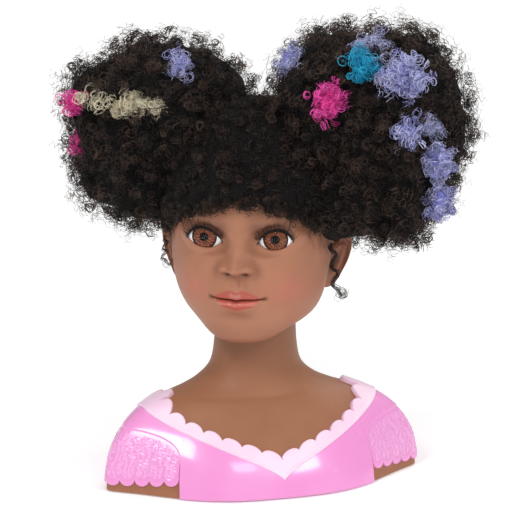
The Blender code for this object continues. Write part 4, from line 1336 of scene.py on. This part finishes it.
def makeCrownCurls(pieces):
    for number in range(pieces):
        count = hairValues["perPiece"]
        azimuth = dice.uniform(-math.pi, math.pi, count * 4)
        azimuth = azimuth * np.where(dice.uniform(size=len(azimuth)) < 0.8, 0.5, 1.0)
        azimuth = (azimuth + math.pi * (1 + number % 2)) % (2 * math.pi) - math.pi
        low = (hairline(azimuth) + 1.0 - headMiddle) / (headHalf + 12)
        level = low + (0.985 - low) * dice.uniform(0, 1, len(azimuth)) ** 0.9
        roots = crownPoint(azimuth, level, -1.0)
        normals = unit(roots - np.array([0, 4, 172.0]))
        roots = roots + normals * (1.6 * ripple(roots, 14, 71) + 0.9 * ripple(roots, 7, 72))[:, None]
        keep = clearOfLocks(roots, 1.0)
        for puff in (hairValues["leftPuff"], hairValues["rightPuff"]):
            inside = (((roots - puff["centre"]) / np.array(puff["sizes"])) ** 2).sum(axis=-1)
            keep &= inside > 0.80
        roots, normals = roots[keep], normals[keep]
        single, rings = int(count * 0.4), int(count * 0.6 / 3)
        paths = [curlPaths(roots[:single], normals[:single], baseStyle)]
        crownRings = dict(ringStyle, radius=(1.5, 2.9))
        roots, normals = roots[single : single + rings], normals[single : single + rings]
        paths = np.concatenate([*paths, curlPaths(roots, normals, crownRings, 3)])
        shades = np.concatenate([shadesOf(0, 0.10, single, 1), shadesOf(0, 0.15, len(roots), 3)])
        radius = hairValues["strand"] * dice.uniform(0.7, 1.15, len(paths))
        strandPiece(f"crownCurls{number + 1}", paths, shades, radius)


def makeFringe():
    # small curls that hang over the forehead's edge: count, strands in each, roots and radius
    for name, count, bundle, low, high, radius in (
        ("fringeCurls", 620, 2, -0.5, 6.5, (0.9, 2.0)),
        ("fringeRings", 110, 3, -2.0, 2.0, (1.5, 2.5)),
    ):
        style = dict(baseStyle, out=(-0.2, 0.5), wild=(0.3, 0.6), radius=radius, sag=(1.0, 4.0))
        azimuth = dice.uniform(-1.65, 1.65, count)
        height = hairline(azimuth) + dice.uniform(low, high, count)
        height += 1.2 * ripple(azimuth[:, None] * [[1.0, 0, 0]], 0.35, 81)
        level = (height - headMiddle) / (headHalf + 12)
        roots = crownPoint(azimuth, level, -2.2)
        normals = unit(roots - np.array([0, 4, 172.0]))
        paths = curlPaths(roots, normals, style, bundle)
        shades = shadesOf(1.0, 0.13, count, bundle)
        radius = hairValues["strand"] * dice.uniform(0.6, 1.0, len(paths))
        strandPiece(name, paths, shades, radius)


def makeTempleWisps(side):
    # thin waves that hang from the hairline over the temple
    count = 34
    azimuth = side * np.radians(dice.uniform(42, 66, count))
    steps = np.linspace(0, 1, 40)
    drop = dice.uniform(7, 24, count)
    top = hairline(azimuth) + dice.uniform(1, 6, count)
    height = top[:, None] - drop[:, None] * steps
    turn = azimuth[:, None] + side * (0.05 + 0.10 * dice.uniform(size=(count, 1))) * steps
    waves = dice.uniform(0.25, 0.42, (count, 1)) * (height - top[:, None]) + dice.uniform(0, 6, (count, 1))
    turn = turn + 0.016 * np.cos(waves)
    level = (height - headMiddle) / headHalf
    path = headForm(turn, level)
    path = path + unit(path - np.array([0, 0, 165.0])) * (1.3 + 0.8 * np.sin(waves))[..., None]
    radii = 0.13 * (1 - 0.6 * steps) * np.ones((count, 1))
    shade = np.broadcast_to(dice.uniform(0.1, 0.5, (count, 1)), path.shape[:2])
    name = sideNames[side]
    made = tubes("templeWisps" + name, path, radii, 3, shade)
    finishPiece(made, "head", darkHair, ())


makeCores()
makePuffCurls("leftPuff", hairValues["leftPuff"], 3, 0.32)
makePuffCurls("rightPuff", hairValues["rightPuff"], 4, 0.32)
makeCrownCurls(2)
makeFringe()
for side in (-1, 1):
    makeTempleWisps(side)


print("coloured locks")

lockTones = {
    "blonde": (colour(176, 160, 128), colour(240, 232, 206), "hair_blonde"),
    "magenta": (colour(214, 24, 130), colour(250, 96, 188), "hair_magenta"),
    "lilac": (colour(112, 112, 196), colour(214, 216, 248), "hair_lilac"),
    "teal": (colour(4, 116, 164), colour(40, 186, 224), "hair_teal"),
}
lockLooks = {
    name: hairLook(name + "Hair", dark, light, 0.5) for name, (dark, light, _) in lockTones.items()
}


lockValues = {"strand": 0.22, "thin": 0.4, "bundle": 10, "heart": 0.54, "wispStrand": 0.2}


def makeLock(node):
    # ringlets of many strands round a small lumpy heart
    middle, half = locks[node]
    tone = node.split("_")[1]
    number = node.split("_")[2] if node.count("_") > 1 else ""
    look, slotName = lockLooks[tone], lockTones[tone][2]
    area = half[0] * half[2]
    rings = int(np.clip(area * 0.10, 5, 14))
    spots = dice.normal(size=(rings, 3))
    spots = middle + unit(spots) * half * dice.uniform(0.3, 0.95, (rings, 1))
    outward = np.tile(unit(middle - np.array([10.0 * np.sign(middle[0]), 60, 215])), (rings, 1))
    style = dict(
        baseStyle, out=(0.9, 1.2), wild=(0.2, 0.5), radius=(2.4, 3.9), turns=(1.3, 2.2), pitch=(0.5, 1.6)
    )
    paths = curlPaths(spots, outward, style, lockValues["bundle"])
    small = int(np.clip(area * 0.6, 24, 90))
    spots = middle + unit(dice.normal(size=(small, 3))) * half * dice.uniform(0.5, 1.2, (small, 1))
    loose = dict(style, out=(0.4, 1.1), wild=(0.5, 0.9), radius=(1.6, 3.4), pitch=(1.0, 3.0))
    outward = np.tile(outward[:1], (small, 1))
    paths = np.concatenate([paths, curlPaths(spots, outward, loose, 2)])
    shades = dice.uniform(0.15, 1.0, len(paths))
    radius = lockValues["strand"] * dice.uniform(0.8, 1.2, len(paths))
    thin = lockValues["thin"]
    strandPiece(tone + "Lock" + number, paths, shades, radius, look, (node,), thin)
    points, quads, fans = sphereGrid(22, 34)
    size = lockValues["heart"] + 0.06 * ripple(points, 0.5, 91)
    shape = middle + points * half * size[:, None]
    core = makePiece(tone + "Heart" + number, shape, quads, fans)
    layer = core.data.attributes.new("shade", "FLOAT", "POINT")
    layer.data.foreach_set("value", np.full(len(points), 0.12, np.float32))
    finishPiece(core, "head", look, ())


for node in sorted(locks):
    makeLock(node)

# loose pale strands round the lilac locks: place and half sizes
paleWisps = [
    ((76, -16, 284), (18, 8, 10), 60),
    ((98, -30, 262), (17, 7, 14), 56),
    ((120, -26, 234), (13, 7, 7), 44),
    ((121, -24, 214), (8, 6, 10), 30),
    ((22, -4, 262), (7, 6, 9), 18),
    ((-96, -26, 243), (12, 6, 5), 16),
]


def makeWisps(number, middle, half, count):
    spread = unit(dice.normal(size=(count, 3))) * half * dice.uniform(0.1, 1.0, (count, 1))
    surface, normals = onPuff(middle + spread)
    roots = surface - 0.5 * normals
    style = dict(baseStyle, out=(0.7, 1.2), wild=(0.3, 0.8), radius=(2.0, 4.2), turns=(1.2, 2.4))
    paths = curlPaths(roots, normals, style, 2)
    tone = "blonde" if middle[0] < 0 else "lilac"
    shades = dice.uniform(0.5, 1.0, len(paths))
    radius = lockValues["wispStrand"] * dice.uniform(0.7, 1.1, len(paths))
    look, slotName = lockLooks[tone], lockTones[tone][2]
    strandPiece(f"{tone}Wisps{number}", paths, shades, radius, look)


for number, (middle, half, count) in enumerate(paleWisps):
    makeWisps(number + 1, middle, half, count)


# strands and length on each side, then a strand's thickness and the curl's size and top
tendrilValues = {
    "strands": {-1: 10, 1: 22},
    "drop": {-1: 18.0, 1: 33.0},
    "strand": 0.19,
    "radius": 1.7,
    "widening": 0.6,
    "top": 156.0,
}


def makeTendril(side):
    # a loose curl in front of the ear, of several strands, ending in small loops
    count, drop = tendrilValues["strands"][side], tendrilValues["drop"][side]
    steps = np.linspace(0, 1, 60)
    paths = []
    for _ in range(count):
        off = dice.normal(0, 0.5, 3)
        fall = np.clip(steps / 0.78, 0, 1) * dice.uniform(0.86, 1.04)
        loop = np.clip((steps - 0.78) / 0.22, 0, 1) * dice.uniform(0.4, 1.0)
        angle = 2 * math.pi * (dice.uniform(2.7, 3.0) * fall + dice.uniform(0.25, 0.4))
        size = tendrilValues["radius"] + tendrilValues["widening"] * fall
        size = size * dice.uniform(0.7, 1.2)
        ring = 2 * math.pi * loop
        x = side * (53.8 + 2.4 * fall) + size * np.cos(angle) + 2.2 * (1 - np.cos(ring))
        y = -18.5 + 2.0 * fall + 0.6 * size * np.sin(angle)
        z = tendrilValues["top"] - drop * fall + 0.8 * np.sin(angle + 1.0) - 2.4 * np.sin(ring) - 1.5 * loop
        paths.append(np.stack([x, y, z], axis=-1) + off)
    paths = np.array(paths)
    radii = tendrilValues["strand"] * (1 - 0.4 * steps) * np.ones((count, 1))
    shade = np.broadcast_to(dice.uniform(0.10, 0.36, (count, 1)), paths.shape[:2])
    name = sideNames[side]
    made = tubes("sideLock" + name, paths, radii, 3, shade)
    finishPiece(made, "head", darkHair, ("side_lock_" + name.lower(),))


for side in (-1, 1):
    makeTendril(side)


# Nodes that keep their CAD shape

print("base and joint")

plasticLook = plainLook("basePlastic", colour(216, 210, 204), colour(205, 199, 193), 0.5)
rubberLook = plainLook("greyRubber", colour(52, 52, 54), colour(64, 64, 66), 0.8)
nylonLook = plainLook("whiteNylon", colour(236, 234, 226), colour(226, 224, 214), 0.4)
steelLook = plainLook(
    "zincSteel", colour(196, 198, 202), colour(176, 178, 184), 0.34, {"Metallic": 1.0}
)
tieLook = plainLook("tieElastic", colour(24, 22, 22), colour(36, 33, 33), 0.85)
keptLooks = {
    "base_plate": (plasticLook, "base_plastic"),
    "base_screw": (steelLook, "steel"),
    "foot": (rubberLook, "rubber"),
    "friction_washer": (nylonLook, "nylon"),
    "neck_plug": (nylonLook, "nylon"),
    "neck_ring": (nylonLook, "nylon"),
    "eye_cup": (nylonLook, "nylon"),
    "hair_tie": (tieLook, "hair_tie"),
}
for name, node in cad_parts.items():
    for start, (look, slotName) in keptLooks.items():
        if name.startswith(start):
            node.data.materials.clear()
            node.data.materials.append(look.material)


# Camera, floor and light

print("stage")

stageValues = {
    "azimuth": -16.13,
    "elevation": 12.14,
    "distance": 1.4,
    "aim": (0.00054, 0.0, 0.14142),
    "lens": 153.5,
    "world": 0.42,
}
# azimuth, elevation, distance, size and watts of each soft light
lights = {
    "keyLight": (-50, 42, 1.2, (0.34, 0.34), 4.4),
    "frontLight": (27, 32, 1.2, (0.30, 0.22), 2.4),
    "middleLight": (2, 36, 1.2, (0.30, 0.16), 1.0),
    "rightLight": (92, 46, 1.2, (0.30, 0.30), 1.8),
    "topLight": (-60, 78, 1.1, (0.5, 0.4), 2.0),
    "backLight": (134, 42, 1.2, (0.4, 0.3), 2.4),
}


def aimed(azimuth, elevation):
    a, e = math.radians(azimuth), math.radians(elevation)
    return Vector((math.sin(a) * math.cos(e), -math.cos(a) * math.cos(e), math.sin(e)))


def makeCamera():
    data = bpy.data.cameras.new("camera")
    data.lens = stageValues["lens"]
    data.sensor_width = 36
    data.clip_start = 0.05
    camera = bpy.data.objects.new("camera", data)
    bpy.context.scene.collection.objects.link(camera)
    back = aimed(stageValues["azimuth"], stageValues["elevation"])
    camera.location = Vector(stageValues["aim"]) + back * stageValues["distance"]
    camera.rotation_euler = (
        math.radians(90 - stageValues["elevation"]),
        0,
        math.radians(stageValues["azimuth"]),
    )
    bpy.context.scene.camera = camera


def addLight(name, azimuth, elevation, distance, size, watts, target=(0, -0.03, 0.12)):
    data = bpy.data.lights.new(name, "AREA")
    data.shape = "RECTANGLE"
    data.size, data.size_y = size
    data.energy = watts
    lamp = bpy.data.objects.new(name, data)
    bpy.context.scene.collection.objects.link(lamp)
    direction = aimed(azimuth, elevation)
    lamp.location = Vector(target) + direction * distance
    lamp.rotation_euler = direction.to_track_quat("Z", "Y").to_euler()


def makeStage():
    bpy.ops.mesh.primitive_plane_add(size=60)
    floor = bpy.context.active_object
    floor.name = "floor"
    look = Look("paleFloor", {"Roughness": 0.9, "Specular IOR Level": 0.1, "Emission Strength": 1.0})
    far = look.node("ShaderNodeVectorMath", {"operation": "LENGTH"}, {0: look.place()}, "Value")
    glow = look.mix(far.step(0.3, 1.8), (0.22, 0.22, 0.22, 1), (0.62, 0.62, 0.62, 1))
    look.set({"Emission Color": glow})
    look.set({"Base Color": look.mix(look.noise(3, 2), (0.97, 0.97, 0.97, 1), (0.95, 0.95, 0.95, 1))})
    floor.data.materials.append(look.material)
    world = bpy.data.worlds.new("studio")
    world.use_nodes = True
    world.node_tree.nodes["Background"].inputs["Color"].default_value = (1, 1, 1, 1)
    world.node_tree.nodes["Background"].inputs["Strength"].default_value = stageValues["world"]
    bpy.context.scene.world = world
    bpy.context.scene.view_settings.view_transform = "Standard"
    for name, values in lights.items():
        addLight(name, *values)


makeCamera()
makeStage()
